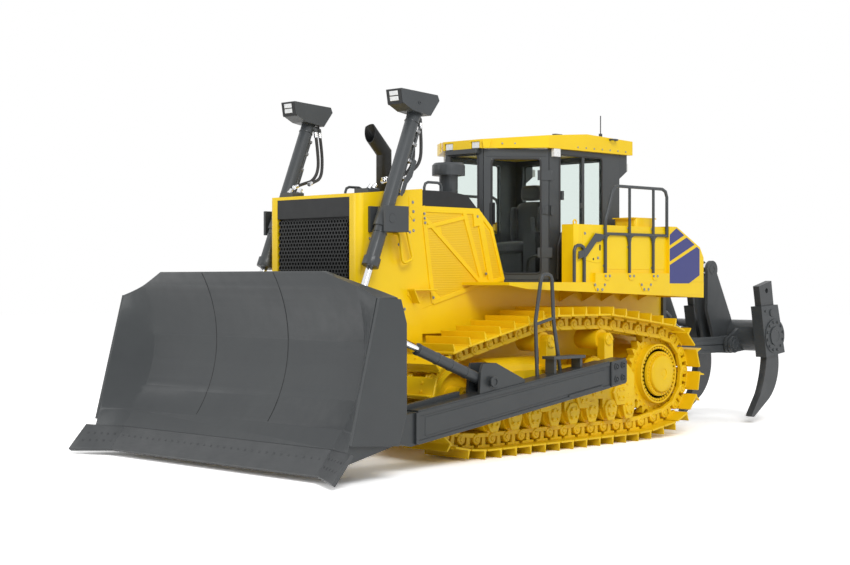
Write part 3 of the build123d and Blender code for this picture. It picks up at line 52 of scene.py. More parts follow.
def makeCamera():
    # looks from place against the heading (cos yaw, sin yaw), tipped by pitch
    data = bpy.data.cameras.new("photoCamera")
    data.sensor_width = view["sensor"]
    data.lens = view["focalPixels"] * view["sensor"] / view["pixelWidth"]
    data.clip_end = 200
    camera = bpy.data.objects.new("photoCamera", data)
    yaw, pitch = math.radians(view["yaw"]), math.radians(view["pitch"])
    ahead = Vector((-math.cos(yaw) * math.cos(pitch), -math.sin(yaw) * math.cos(pitch), math.sin(pitch)))
    camera.location = view["place"]
    camera.rotation_mode = "QUATERNION"
    camera.rotation_quaternion = ahead.to_track_quat("-Z", "Y")
    bpy.context.scene.collection.objects.link(camera)
    bpy.context.scene.camera = camera


makeCamera()


# mesh tools: a shape is (points, faces), faces being a list of integer arrays, one row for each polygon
def joinShapes(shapes):
    # stacks shapes, each one's face numbers moved past the points before it
    points, faces, start = [], [], 0
    for shapePoints, shapeFaces in shapes:
        points.append(np.asarray(shapePoints, float).reshape(-1, 3))
        faces += [np.asarray(f, int) + start for f in shapeFaces]
        start += len(points[-1])
    return np.concatenate(points), faces


def putPiece(name, shape, finish, body, sharp=32.0, stands=()):
    # writes the arrays straight into a mesh: points, polygon corners, starts of polygons
    points, faces = shape
    mesh = bpy.data.meshes.new(name)
    corners = np.concatenate([f.ravel() for f in faces])
    sizes = np.concatenate([np.full(len(f), f.shape[1]) for f in faces])
    starts = np.concatenate([[0], np.cumsum(sizes)[:-1]])
    mesh.vertices.add(len(points))
    mesh.vertices.foreach_set("co", points.astype(np.float32).ravel())
    mesh.loops.add(len(corners))
    mesh.loops.foreach_set("vertex_index", corners.astype(np.int32))
    mesh.polygons.add(len(sizes))
    mesh.polygons.foreach_set("loop_start", starts.astype(np.int32))
    mesh.polygons.foreach_set("loop_total", sizes.astype(np.int32))
    mesh.polygons.foreach_set("use_smooth", np.ones(len(sizes), bool))
    mesh.update(calc_edges=True)
    mesh.validate()
    mesh.set_sharp_from_angle(angle=math.radians(sharp))
    mesh.materials.append(finish)
    piece = bpy.data.objects.new(name, mesh)
    bpy.context.scene.collection.objects.link(piece)
    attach(piece, body)
    if stands:
        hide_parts(*stands)
    return piece


def gridFaces(rows, columns, closeRows=False, closeColumns=False, base=0):
    # quads between neighbours of a rows by columns grid, wrapped round where it closes
    r = np.arange(rows if closeRows else rows - 1)
    c = np.arange(columns if closeColumns else columns - 1)
    rr, cc = np.meshgrid(r, c, indexing="ij")
    r2, c2 = (rr + 1) % rows, (cc + 1) % columns
    quads = np.stack([rr * columns + cc, r2 * columns + cc, r2 * columns + c2, rr * columns + c2], -1)
    return quads.reshape(-1, 4) + base


def loftShape(rings, capped=True):
    # closed rings of equal count joined in order, with flat caps on the first and last
    rings = np.asarray(rings, float)
    rows, columns = rings.shape[:2]
    faces = [gridFaces(rows, columns, closeColumns=True)]
    if capped:
        faces.append(np.arange(columns)[None])
        faces.append((np.arange(columns)[::-1] + (rows - 1) * columns)[None])
    return rings.reshape(-1, 3), faces


def inward(outline, distance):
    # each corner moved along its mitre by a distance to the left of the walk
    outline = np.asarray(outline, float)
    ahead = np.roll(outline, -1, 0) - outline
    ahead /= np.linalg.norm(ahead, axis=1, keepdims=True)
    before = np.roll(ahead, 1, 0)
    left, leftBefore = np.stack([-ahead[:, 1], ahead[:, 0]], 1), np.stack([-before[:, 1], before[:, 0]], 1)
    middle = left + leftBefore
    return outline + middle * (2 * distance / np.maximum((middle ** 2).sum(1, keepdims=True), 0.6))


def leftHanded(outline):
    # signed area above zero means that the walk is counter-clockwise
    x, y = np.asarray(outline, float).T
    return (x * np.roll(y, -1) - y * np.roll(x, -1)).sum() > 0


def plateShape(outline, origin, across, up, thickness, edge=0.004):
    # a flat outline given depth along across x up, its rims chamfered by edge
    outline = np.asarray(outline, float)
    if not leftHanded(outline):
        outline = outline[::-1]
    origin, across, up = np.asarray(origin, float), np.asarray(across, float), np.asarray(up, float)
    out = np.cross(across, up)
    small = inward(outline, edge)
    layers = [(small, 0), (outline, edge), (outline, thickness - edge), (small, thickness)]
    rings = [origin + flat[:, :1] * across + flat[:, 1:] * up + depth * out for flat, depth in layers]
    return loftShape(rings[::-1])


def sideShape(outline, y, edge=0.004):
    # a plate with its outline in X and Z, between two values of Y
    low, high = min(y), max(y)
    return plateShape(outline, (0, high, 0), (1, 0, 0), (0, 0, 1), high - low, edge)


def boxShape(x, y, z, edge=0.004):
    # a chamfered box between limits on each axis
    outline = [(min(x), min(z)), (max(x), min(z)), (max(x), max(z)), (min(x), max(z))]
    return sideShape(outline, y, edge)


def turnedShape(profile, start, axis, count=28):
    # a profile of (distance along the axis, radius) turned about the axis
    profile = np.asarray(profile, float)
    axis = Vector(axis).normalized()
    side = axis.orthogonal().normalized()
    other = axis.cross(side)
    angle = np.arange(count) * 2 * np.pi / count
    ring = np.cos(angle)[:, None] * np.array(side) + np.sin(angle)[:, None] * np.array(other)
    rings = np.array(start) + profile[:, None, :1] * np.array(axis) + profile[:, None, 1:] * ring[None]
    return loftShape(rings[::-1])


def tubeShape(path, radius, count=12, capped=True):
    # a circle carried along a path in frames that turn as little as they can
    path = np.asarray(path, float)
    ahead = np.gradient(path, axis=0)
    ahead /= np.linalg.norm(ahead, axis=1, keepdims=True)
    side = np.empty_like(path)
    side[0] = np.array(Vector(ahead[0]).orthogonal().normalized())
    for i in range(1, len(path)):
        moved = side[i - 1] - ahead[i] * (side[i - 1] @ ahead[i])
        side[i] = moved / np.linalg.norm(moved)
    other = np.cross(ahead, side)
    angle = np.arange(count) * 2 * np.pi / count
    ring = np.cos(angle)[None, :, None] * side[:, None] + np.sin(angle)[None, :, None] * other[:, None]
    return loftShape((path[:, None] + radius * ring)[::-1], capped)


def roundedPath(points, bend, steps=7):
    # straight runs joined by arcs of one radius, less where a run is short
    points = [np.asarray(p, float) for p in points]
    path = [points[0]]
    for before, corner, after in zip(points, points[1:], points[2:]):
        a, b = before - corner, after - corner
        la, lb = np.linalg.norm(a), np.linalg.norm(b)
        a, b = a / la, b / lb
        half = math.acos(max(-1.0, min(1.0, float(a @ b)))) / 2
        reach = min(bend / math.tan(half), 0.48 * la, 0.48 * lb)
        t = np.linspace(0, 1, steps)[:, None]
        start, end = corner + a * reach, corner + b * reach
        path += list((1 - t) ** 2 * start + 2 * t * (1 - t) * corner + t ** 2 * end)
    path.append(points[-1])
    return np.array(path)


def mirrored(shape):
    # the same shape on the other side of the machine, its polygons turned round
    points, faces = shape
    return points * (1, -1, 1), [f[:, ::-1] for f in faces]


def bothSides(shapes):
    # shapes with their mirror images after them
    return list(shapes) + [mirrored(s) for s in shapes]


def copies(shape, origins, basis):
    # copies of a shape: point = origin + a * first + b * second + c * third row of each basis
    points, faces = shape
    origins = np.asarray(origins, float)
    moved = origins[:, None] + np.einsum("pk,ckx->cpx", points, np.asarray(basis, float))
    shift = (np.arange(len(origins)) * len(points))[:, None, None]
    return moved.reshape(-1, 3), [(f[None] + shift).reshape(-1, f.shape[1]) for f in faces]


def putPair(name, shapes, finish, body):
    # shapes and their mirror images as one piece
    return putPiece(name, joinShapes(bothSides(shapes)), finishes[finish], body)


def placed(shape, origins, across, up):
    # copies of one shape, each in the frame of an origin and two directions
    origins, across, up = (np.atleast_2d(np.asarray(v, float)) for v in (origins, across, up))
    across, up = np.broadcast_to(across, origins.shape), np.broadcast_to(up, origins.shape)
    return copies(shape, origins, np.stack([across, up, np.cross(across, up)], 1))


# a bolt's measures as shares of its size, apart from the depth of the washer's foot in metres
fastener = dict(washerRise=0.18, washerRadius=1.35, height=0.85, chamfer=0.12, crown=0.86, foot=-0.002)


def circleOf(count):
    # points evenly round a flat unit circle
    angle = np.arange(count) * 2 * np.pi / count
    return np.stack([np.cos(angle), np.sin(angle)], 1)


def hexBolt(size):
    # a six-sided head on a round washer, standing along its third axis
    low, high, chamfer = (fastener[key] * size for key in ("washerRise", "height", "chamfer"))
    head, circle = circleOf(6) * size, circleOf(14) * size * fastener["washerRadius"]
    rings = [(head * fastener["crown"], high), (head, high - chamfer), (head, low)]
    washer = [(circle, low), (circle, fastener["foot"])]
    return joinShapes([loftShape([np.c_[ring, np.full(len(ring), height)] for ring, height in part])
                       for part in (rings, washer)])


def boltRow(origins, outward, size):
    # bolts standing on a face whose normal is outward
    out = Vector(outward).normalized()
    across = out.orthogonal().normalized()
    return placed(hexBolt(size), origins, across, out.cross(across))


def addNode(tree, kind, **values):
    # a shader node with inputs or settings given by name
    node = tree.nodes.new(kind)
    for key, value in values.items():
        if key in node.inputs:
            node.inputs[key].default_value = value
        else:
            setattr(node, key, value)
    return node


def noiseFrom(tree, where, scale, detail, stretch=(1.0, 1.0, 1.0)):
    # cloudy noise, drawn out along the axes where the stretch is small
    mapping = addNode(tree, "ShaderNodeMapping", Scale=stretch)
    noise = addNode(tree, "ShaderNodeTexNoise", Scale=scale, Detail=detail, Roughness=0.55)
    tree.links.new(where, mapping.inputs["Vector"])
    tree.links.new(mapping.outputs["Vector"], noise.inputs["Vector"])
    return noise.outputs["Fac"]


def cellsFrom(tree, where, scale, distance="EUCLIDEAN"):
    # distance to the nearest of scattered points
    cells = addNode(tree, "ShaderNodeTexVoronoi", Scale=scale, distance=distance)
    tree.links.new(where, cells.inputs["Vector"])
    return cells.outputs["Distance"]


def wavesFrom(tree, where, scale, *directions):
    # product of the waves along each direction
    product = None
    for direction in directions:
        wave = addNode(tree, "ShaderNodeTexWave", Scale=scale, bands_direction=direction)
        tree.links.new(where, wave.inputs["Vector"])
        if product:
            weave = addNode(tree, "ShaderNodeMath", operation="MULTIPLY")
            tree.links.new(product, weave.inputs[0])
            tree.links.new(wave.outputs["Fac"], weave.inputs[1])
        product = weave.outputs[0] if product else wave.outputs["Fac"]
    return product


def spread(tree, value, low, high):
    # maps 0.3 to 0.7 of a noise onto low to high
    ramp = addNode(tree, "ShaderNodeMapRange",
                   **{"From Min": 0.3, "From Max": 0.7, "To Min": low, "To Max": high})
    tree.links.new(value, ramp.inputs["Value"])
    return ramp.outputs["Result"]


def blendColours(tree, factor, first, second):
    # first * (1 - factor) + second * factor; sockets 6, 7 and 2 are the mix node's colours
    mix = addNode(tree, "ShaderNodeMix", data_type="RGBA")
    mix.inputs[6].default_value = (*first, 1)
    mix.inputs[7].default_value = (*second, 1)
    tree.links.new(factor, mix.inputs["Factor"])
    return mix.outputs[2]


def bumpFrom(tree, height, strength, distance):
    # a normal tipped by the slope of a height
    bump = addNode(tree, "ShaderNodeBump", Strength=strength, Distance=distance)
    tree.links.new(height, bump.inputs["Height"])
    return bump.outputs["Normal"]


def makeFinish(name, tint=None, colours=None, rough=None, gloss=None, bump=None, relief=None, fixed=()):
    # colour = blend of two by the tint pattern, roughness = gloss by rough, normal = relief by bump
    finish = bpy.data.materials.new(name)
    finish.use_nodes = True
    tree = finish.node_tree
    inputs = tree.nodes["Principled BSDF"].inputs
    where = addNode(tree, "ShaderNodeTexCoord").outputs["Object"]
    tintValue, roughValue, bumpValue = (p and p[0](tree, where, *p[1:]) for p in (tint, rough, bump))
    if tint and tint[0] is noiseFrom:
        tintValue = spread(tree, tintValue, 0.0, 1.0)
    if tint:
        tree.links.new(blendColours(tree, tintValue, *colours), inputs["Base Color"])
    if rough:
        tree.links.new(spread(tree, roughValue, *gloss), inputs["Roughness"])
    if bump:
        tree.links.new(bumpFrom(tree, bumpValue, *relief), inputs["Normal"])
    for key, value in dict(fixed).items():
        inputs[key].default_value = value
    return finish


def paintLook(name, colour, shade, rough, peel, coat):
    # sprayed paint: slow drift of shade, orange peel a few millimetres wide, and uneven gloss
    return dict(name=name, tint=(noiseFrom, 1.7, 4.0), colours=(colour, shade), rough=(noiseFrom, 9.0, 5.0),
                gloss=(rough - 0.05, rough + 0.07), bump=(noiseFrom, 320.0, 2.0), relief=(peel, 0.002),
                fixed={"Coat Weight": coat, "Coat Roughness": 0.12, "Specular IOR Level": 0.35})


# finishes: every pattern reads Object coordinates, so it stays with its piece; a wave's scale is 0.314 / gap
scratch = (noiseFrom, 4.0, 6.0, (60.0, 2.0, 60.0))
grain = (noiseFrom, 260.0, 4.0)
weave = (wavesFrom, 220.0, "Y", "DIAGONAL")
facets = (cellsFrom, 46.0, "CHEBYCHEV")
# the louvre waves give the fields' ribbed bump and also the painted shade bands in their colour
louvreGap = 0.018
louvres = (wavesFrom, 0.314 / louvreGap, "Z")
looks = dict(
    yellow=paintLook("yellowPaint", (0.94, 0.645, 0.002), (0.88, 0.58, 0.002), 0.38, 0.035, 0.14),
    track=paintLook("trackPaint", (0.90, 0.60, 0.003), (0.78, 0.49, 0.003), 0.46, 0.10, 0.06),
    frameGrey=paintLook("frameGreyPaint", (0.056, 0.062, 0.066), (0.046, 0.051, 0.055), 0.42, 0.05, 0.12),
    bladeGrey=paintLook("bladeGreyPaint", (0.040, 0.045, 0.047), (0.034, 0.038, 0.041), 0.40, 0.07, 0.10),
    black=paintLook("blackPaint", (0.010, 0.011, 0.012), (0.007, 0.008, 0.008), 0.50, 0.05, 0.05),
    blue=paintLook("bluePaint", (0.034, 0.040, 0.205), (0.029, 0.035, 0.180), 0.36, 0.03, 0.30),
    # bare cutting steel: long scratches along the machine's width and slow clouds
    steel=dict(name="wornSteel", tint=(noiseFrom, 5.0, 5.0), rough=scratch, gloss=(0.34, 0.52), bump=scratch,
               relief=(0.06, 0.002), colours=((0.050, 0.054, 0.057), (0.066, 0.070, 0.073)),
               fixed={"Metallic": 0.25}),
    # hard chrome on rods and fittings, unevenly polished
    chrome=dict(name="hardChrome", rough=(noiseFrom, 240.0, 3.0), gloss=(0.07, 0.16),
                fixed={"Base Color": (0.80, 0.81, 0.82, 1), "Metallic": 1.0}),
    # zinc plated fasteners, each patch a little different
    bolt=dict(name="zincPlate", tint=(noiseFrom, 30.0, 3.0),
              colours=((0.24, 0.245, 0.25), (0.34, 0.345, 0.35)),
              rough=(noiseFrom, 90.0, 3.0), gloss=(0.25, 0.42), fixed={"Metallic": 0.85}),
    # slightly green safety glass, unevenly wiped
    glass=dict(name="cabGlass", rough=(noiseFrom, 6.0, 4.0), gloss=(0.015, 0.05),
               fixed={"Base Color": (0.86, 0.91, 0.89, 1), "Transmission Weight": 1.0, "IOR": 1.08}),
    # hose cover and seals: matte black with a fine grain
    rubber=dict(name="hoseRubber", tint=grain, colours=((0.020, 0.020, 0.021), (0.036, 0.036, 0.037)),
                bump=grain, relief=(0.25, 0.002), fixed={"Roughness": 0.62}),
    # moulded cab trim with a leather-like grain
    trim=dict(name="cabTrim", tint=(noiseFrom, 4.0, 3.0),
              colours=((0.040, 0.042, 0.045), (0.055, 0.057, 0.060)),
              bump=(cellsFrom, 420.0), relief=(0.25, 0.001), fixed={"Roughness": 0.58}),
    # woven seat cloth: two crossed waves of thread
    cloth=dict(name="seatCloth", tint=weave, colours=((0.030, 0.031, 0.034), (0.075, 0.077, 0.082)),
               bump=weave, relief=(0.35, 0.001), fixed={"Roughness": 0.88, "Sheen Weight": 0.25}),
    # clear lens over a faceted bowl, coloured close to white with darker facet cells as painted reflection of
    # the bowl
    lens=dict(name="lampLens", tint=facets, colours=((0.92, 0.93, 0.93), (0.62, 0.64, 0.65)), bump=facets,
              relief=(0.3, 0.004), fixed={"Roughness": 0.08, "Coat Weight": 0.8}),
    # yellow paint pressed into fine level ribs; its colour is a darker yellow than the hood's as painted
    # shade of the recessed fields, banded lighter and darker along the ribs as painted shade in their grooves
    louvre=dict(name="louvreShadedPaint", tint=louvres, colours=((0.78, 0.48, 0.004), (0.86, 0.56, 0.006)),
                bump=louvres, relief=(0.35, 0.004), rough=(noiseFrom, 9.0, 5.0), gloss=(0.36, 0.46)))
finishes = {key: makeFinish(**look) for key, look in looks.items()}
print("finishes made:", len(finishes))

# finish and edge width in metres of the nodes that stay in view
slotFinish = dict(yellow_paint="yellow", dark_paint="frameGrey", black_mesh="black", blade_paint="bladeGrey",
                  wear_steel="steel", chrome_rod="chrome", glass="glass", seat_fabric="cloth",
                  trim_plastic="trim", lamp_lens="lens", blue_paint="blue", hose_rubber="rubber")
nodeFinish = dict(track_frames="track", idlers="track", bogies="track", track_rollers="track",
                  sprockets="track", final_drives="track", cross_shafts="track", engine_block="black",
                  exhaust_pipe="black", hood_top="black")
plainEdge = dict(cab_windows=0, door_glass_left=0, door_glass_right=0, lift_rods=0.002, handrails=0,
                 arm_ladder=0)
plainEdge.update({name: 0 for name in nodes if name.startswith("lift_hose")})
dressing = dict(edge=0.005, weld=0.0002, segments=2, sharpest=38)


def dressNodes():
    # welds each node's loose triangles, then rounds its sharp edges with a narrow bevel
    for row in frame["record"]["subparts"]:
        name = row["node"]
        piece = nodes[name]
        finish = finishes[nodeFinish.get(name, slotFinish[row["material_slot"]])]
        piece.data.materials.clear()
        piece.data.materials.append(finish)
        edge = plainEdge.get(name, dressing["edge"])
        if edge:
            weld = piece.modifiers.new("weld", "WELD")
            weld.merge_threshold = dressing["weld"]
            bevel = piece.modifiers.new("edge", "BEVEL")
            bevel.width = edge
            bevel.segments = dressing["segments"]
            bevel.limit_method = "ANGLE"
            bevel.angle_limit = math.radians(dressing["sharpest"])
            bevel.harden_normals = True


dressNodes()
print("nodes dressed")

# studio: pale floor, even sky and two soft lamps
studio = dict(floorSize=120.0, floorColour=0.80, floorSeen=1.62, skyStrength=0.62, keyPower=2600,
              keyPlace=(10, 16, 15), keySize=9.0, fillPower=900, fillPlace=(20, -8, 8), fillSize=10.0,
              aim=(0, 0, 1.2))


def isSeenRay(tree):
    # one for rays from the camera, mirrors and glass, nought for the rest
    ray = addNode(tree, "ShaderNodeLightPath")
    first = addNode(tree, "ShaderNodeMath", operation="MAXIMUM")
    second = addNode(tree, "ShaderNodeMath", operation="MAXIMUM")
    tree.links.new(ray.outputs["Is Camera Ray"], first.inputs[0])
    tree.links.new(ray.outputs["Is Glossy Ray"], first.inputs[1])
    tree.links.new(first.outputs[0], second.inputs[0])
    tree.links.new(ray.outputs["Is Transmission Ray"], second.inputs[1])
    return second.outputs[0]


def softLamp(name, power, place, size):
    # a square area lamp turned from its place to the aim
    lamp = bpy.data.lights.new(name, "AREA")
    lamp.energy = power
    lamp.size = size
    holder = bpy.data.objects.new(name, lamp)
    holder.location = place
    holder.rotation_euler = (Vector(studio["aim"]) - Vector(place)).to_track_quat("-Z", "Y").to_euler()
    bpy.context.scene.collection.objects.link(holder)


def makeStudio():
    # sky and floor look white to seen rays and give less light to the rest
    scene = bpy.context.scene
    scene.view_settings.view_transform = "Standard"
    world = bpy.data.worlds.new("studio")
    scene.world = world
    world.use_nodes = True
    tree = world.node_tree
    strength = addNode(tree, "ShaderNodeMapRange", **{"To Min": studio["skyStrength"], "To Max": 1.0})
    tree.links.new(isSeenRay(tree), strength.inputs["Value"])
    tree.nodes["Background"].inputs["Color"].default_value = (1, 1, 1, 1)
    tree.links.new(strength.outputs["Result"], tree.nodes["Background"].inputs["Strength"])
    half = studio["floorSize"] / 2
    mesh = bpy.data.meshes.new("floor")
    mesh.from_pydata([(-half, -half, 0), (half, -half, 0), (half, half, 0), (-half, half, 0)], [],
                     [(0, 1, 2, 3)])
    floor = bpy.data.objects.new("floor", mesh)
    scene.collection.objects.link(floor)
    finish = bpy.data.materials.new("floorPaper")
    finish.use_nodes = True
    tree = finish.node_tree
    tree.nodes.clear()
    shader = addNode(tree, "ShaderNodeBsdfDiffuse")
    white, seen = (studio[key] for key in ("floorColour", "floorSeen"))
    tree.links.new(blendColours(tree, isSeenRay(tree), (white,) * 3, (seen,) * 3), shader.inputs["Color"])
    output = addNode(tree, "ShaderNodeOutputMaterial")
    tree.links.new(shader.outputs[0], output.inputs["Surface"])
    mesh.materials.append(finish)
    softLamp("keyLamp", studio["keyPower"], studio["keyPlace"], studio["keySize"])
    softLamp("fillLamp", studio["fillPower"], studio["fillPlace"], studio["fillSize"])


makeStudio()
print("studio made")


def ringOf(count, centre, radius, axis, turn=0.0):
    # points evenly round a circle about an axis
    axis = Vector(axis).normalized()
    side = axis.orthogonal().normalized()
    angle = turn + np.arange(count) * 2 * np.pi / count
    ring = np.cos(angle)[:, None] * np.array(side) + np.sin(angle)[:, None] * np.array(axis.cross(side))
    return np.array(centre) + radius * ring


# track chains in metres: circles of the pin line are (x, z, radius) in walking order, a link's outlines
# (along, out), its plates and bosses reach over (from, to) across
chain = dict(y=1.070, width=0.610, shoes=42, soleEdge=0.003,
             circles=((-1.480, 0.720, 0.460), (-0.380, 1.145, 0.175), (0.600, 1.145, 0.175),
                      (1.920, 0.620, 0.406), (1.600, 0.371, 0.185), (-1.000, 0.371, 0.185)),
             sole=((0.005, 0.086), (0.005, 0.099), (0.012, 0.106), (0.180, 0.106), (0.187, 0.112),
                   (0.1955, 0.176),
                   (0.199, 0.186), (0.2085, 0.186), (0.211, 0.176), (0.214, 0.112), (0.221, 0.104),
                   (0.2235, 0.096), (0.2235, 0.086)),
             railEnd=((0.016, -0.062), (0.006, -0.052), (0.006, -0.016)), rail=(0.098, 0.148),
             webOutline=((0.092, -0.03), (0.136, -0.03), (0.146, 0.080), (0.082, 0.080)), web=(0.104, 0.144),
             lipOutline=((0.026, 0.060), (0.204, 0.060), (0.204, 0.088), (0.026, 0.088)), lip=(0.100, 0.146),
             boss=0.056, bosses=((0, 0.120, 0.158), (1, 0.092, 0.120)), bore=0.030, pin=0.026, pinReach=0.164,
             chamfer=0.006, bossChamfer=0.008, boreDepth=0.006, boreFoot=0.027, bolt=0.015, shoeTop=0.106,
             boltAlong=(0.062, 0.146), boltAcross=(-0.124, 0.124))


def chainFrames():
    # outer tangents of neighbouring circles, walked clockwise: normal = heading + pi/2 - asin((ra - rb) / d)
    x, z, r = np.array(chain["circles"]).T
    nextX, nextZ, nextR = (np.roll(v, -1) for v in (x, z, r))
    gap = np.hypot(nextX - x, nextZ - z)
    leave = np.arctan2(nextZ - z, nextX - x) + np.pi / 2 - np.arcsin((r - nextR) / gap)
    arrive = np.roll(leave, 1)
    lengths = np.stack([(arrive - leave) % (2 * np.pi) * r, np.sqrt(gap ** 2 - (r - nextR) ** 2)], 1).ravel()
    ends = np.cumsum(lengths)
    distance = np.arange(chain["shoes"]) * ends[-1] / chain["shoes"]
    piece = np.searchsorted(ends, distance)
    i, along = piece // 2, distance - (ends - lengths)[piece]
    curved = piece % 2 == 0
    angle = np.where(curved, arrive[i] - along / r[i], leave[i])
    run = np.where(curved, 0, along)
    here = np.stack([x[i] + r[i] * np.cos(angle) + run * np.sin(angle), np.zeros(len(i)),
                     z[i] + r[i] * np.sin(angle) - run * np.cos(angle)], 1)
    step = np.roll(here, -1, 0) - here
    out = np.stack([-step[:, 2], step[:, 1], step[:, 0]], 1) / np.linalg.norm(step, axis=1, keepdims=True)
    return here, step, out, ends[-1] / chain["shoes"]


def chainLink(pitch):
    # one shoe with its grouser, two links with open windows, pin bosses, pin and bolts: (along, out, across)
    wide, r, cut, drop = chain["width"] / 2, chain["boss"], chain["chamfer"], chain["bossChamfer"]
    flat = dict(across=(1, 0, 0), up=(0, 1, 0))
    shapes = [plateShape(chain["sole"], (0, 0, -wide), thickness=2 * wide, edge=chain["soleEdge"], **flat)]
    near = chain["railEnd"]
    rail = [near[0], *((pitch - along, out) for along, out in near), *near[:0:-1]]
    for outline, (low, high) in ((rail, chain["rail"]), (chain["webOutline"], chain["web"]),
                                 (chain["lipOutline"], chain["lip"])):
        shapes += [plateShape(outline, (0, 0, start), thickness=high - low, **flat) for start in (low, -high)]
    for share, low, high in chain["bosses"]:
        rim = [(low, r - cut), (low + cut, r), (high - drop, r), (high, r - drop), (high, chain["bore"]),
               (high - chain["boreDepth"], chain["boreFoot"])]
        shapes += [turnedShape(rim, (share * pitch, 0, 0), (0, 0, hand), 18) for hand in (-1, 1)]
    reach, p = chain["pinReach"], chain["pin"]
    pin = [(-reach, p - cut), (-reach + cut, p), (reach - cut, p), (reach, p - cut)]
    shapes.append(turnedShape(pin, (0, 0, 0), (0, 0, 1), 14))
    spots = [(along, chain["shoeTop"],
              across) for along in chain["boltAlong"] for across in chain["boltAcross"]]
    shapes.append(boltRow(spots, (0, 1, 0), chain["bolt"]))
    points, faces = joinShapes(shapes)
    return points / (pitch, 1, 1), faces


def layChains():
    # one link copied along the pin line: point = pin + along * step + out * normal + across * width
    here, step, out, pitch = chainFrames()
    basis = np.stack([step, out, np.broadcast_to((0.0, -1.0, 0.0), step.shape)], 1)
    link = chainLink(pitch)
    for node, side in (("track_left", 1), ("track_right", -1)):
        shape = copies(link, here + np.array([0, side * chain["y"], 0]), basis)
        putPiece("chain_" + node[6:], shape, finishes["track"], "chassis", stands=(node,))


layChains()
print("track chains laid")

# undercarriage caps, in metres: shield outlines are (x, z) about a roller or a bogie's pivot
caps = dict(face=1.277, sunk=0.004, edge=0.006, stepEdge=0.005, rollers=(1.290, 0.660, 0.030, -0.620),
            offset=0.160, axis=0.371,
            pivot=0.545, thick=0.020, pivotThick=0.034, stepShare=0.62, stepSunk=0.002, step=0.009,
            bolt=0.014, spot=(0.036, 0.042),
            shield=((-0.055, -0.115), (0.055, -0.115), (0.088, -0.050), (0.112, 0.030), (0.072, 0.088),
                    (0.038, 0.112), (-0.038, 0.112), (-0.072, 0.088), (-0.112, 0.030), (-0.088, -0.050)),
            pivotShield=((-0.075, -0.130), (0.075, -0.130), (0.135, 0.010), (0.085, 0.085), (-0.085, 0.085),
                         (-0.135, 0.010)))
# rings of bolts are (count, distance behind the face, radius, bolt size, turn)
hub = dict(centre=(-1.480, 0.720), face=1.235, bandBack=0.060,
           rings=((36, 0.025, 0.233, 0.0125, 0), (40, 0.060, 0.300, 0.0145, 0),
                  (25, 0.120, 0.388, 0.016, 0.12)),
           dome=((-0.004, 0.2095), (0.004, 0.2095), (0.012, 0.204), (0.018, 0.190), (0.022, 0.165),
                 (0.024, 0.120), (0.024, 0.060), (0.016, 0.056), (0.016, 0.030), (0.020, 0.028),
                 (0.020, 0.002)),
           band=((0.0, 0.318), (0.012, 0.318), (0.016, 0.322), (0.016, 0.336), (0.012, 0.3405),
                 (0.0, 0.3405)))
posts = dict(x=(0.600, -0.380), z=1.145, footHalf=0.105, footEdge=0.008, footY=(1.205, 1.345),
             footZ=(0.858, 0.890),
             boltX=0.085, boltY=(1.222, 1.328), bolt=0.014, capFace=1.322, capBoltFace=1.338, capBolts=4,
             capRing=0.046, capTurn=0.78, capBolt=0.010,
             cap=((0.0, 0.066), (0.010, 0.066), (0.016, 0.058), (0.016, 0.030), (0.010, 0.027),
                  (0.010, 0.002)))
idler = dict(x=1.920, z=0.625, face=1.319, boltFace=1.343, bolts=6, ring=0.058, bolt=0.011,
             plateX=(1.34, 1.46, 1.58, 1.70), plateZ=(0.560, 0.700), plateBolt=0.014,
             cap=((0.0, 0.085), (0.016, 0.085), (0.024, 0.074), (0.024, 0.040), (0.016, 0.036),
                  (0.016, 0.002)))
clamps = dict(x=(1.05, 0.36, -0.25, -0.70), y=(1.272, 1.289), boltX=0.055, boltZ=(0.57, 0.64), bolt=0.013,
              edge=0.005,
              outline=((-0.09, 0.53), (0.09, 0.53), (0.09, 0.66), (0.05, 0.70), (-0.05, 0.70), (-0.09, 0.66)))
outwards = (0, 1, 0)
upwards = (0, 0, 1)


def makeCaps():
    # the same shield on every roller, a wider one on each bogie's pivot, four bolts on each
    rollers = [(x + s * caps["offset"], caps["axis"]) for x in caps["rollers"] for s in (-1, 1)]
    pivots = [(x, caps["pivot"]) for x in caps["rollers"]]
    shapes, (a, b) = [], caps["spot"]
    for outline, places, thick in ((caps["shield"], rollers, caps["thick"]),
                                   (caps["pivotShield"], pivots, caps["pivotThick"])):
        outline, face = np.array(outline), caps["face"] + thick
        top = face + caps["step"]
        for x, z in places:
            shapes.append(sideShape(outline + (x, z), (caps["face"] - caps["sunk"], face), caps["edge"]))
            stepOutline = outline * caps["stepShare"] + (x, z)
            shapes.append(sideShape(stepOutline, (face - caps["stepSunk"], top), caps["stepEdge"]))
            spots = [(x + right * a, top, z + up * b) for right in (-1, 1) for up in (-1, 1)]
            shapes.append(boltRow(spots, outwards, caps["bolt"]))
    return shapes


def makeHub():
    # a stepped drum with a shallow dome, and rings of bolts about the sprocket's axis
    (x, z), face = hub["centre"], hub["face"]
    shapes = [turnedShape(hub["dome"], (x, face, z), outwards, 48)]
    for count, back, radius, size, turn in hub["rings"]:
        shapes.append(boltRow(ringOf(count, (x, face - back, z), radius, outwards, turn), outwards, size))
    shapes.append(turnedShape(hub["band"], (x, face - hub["bandBack"], z), outwards, 56))
    return shapes


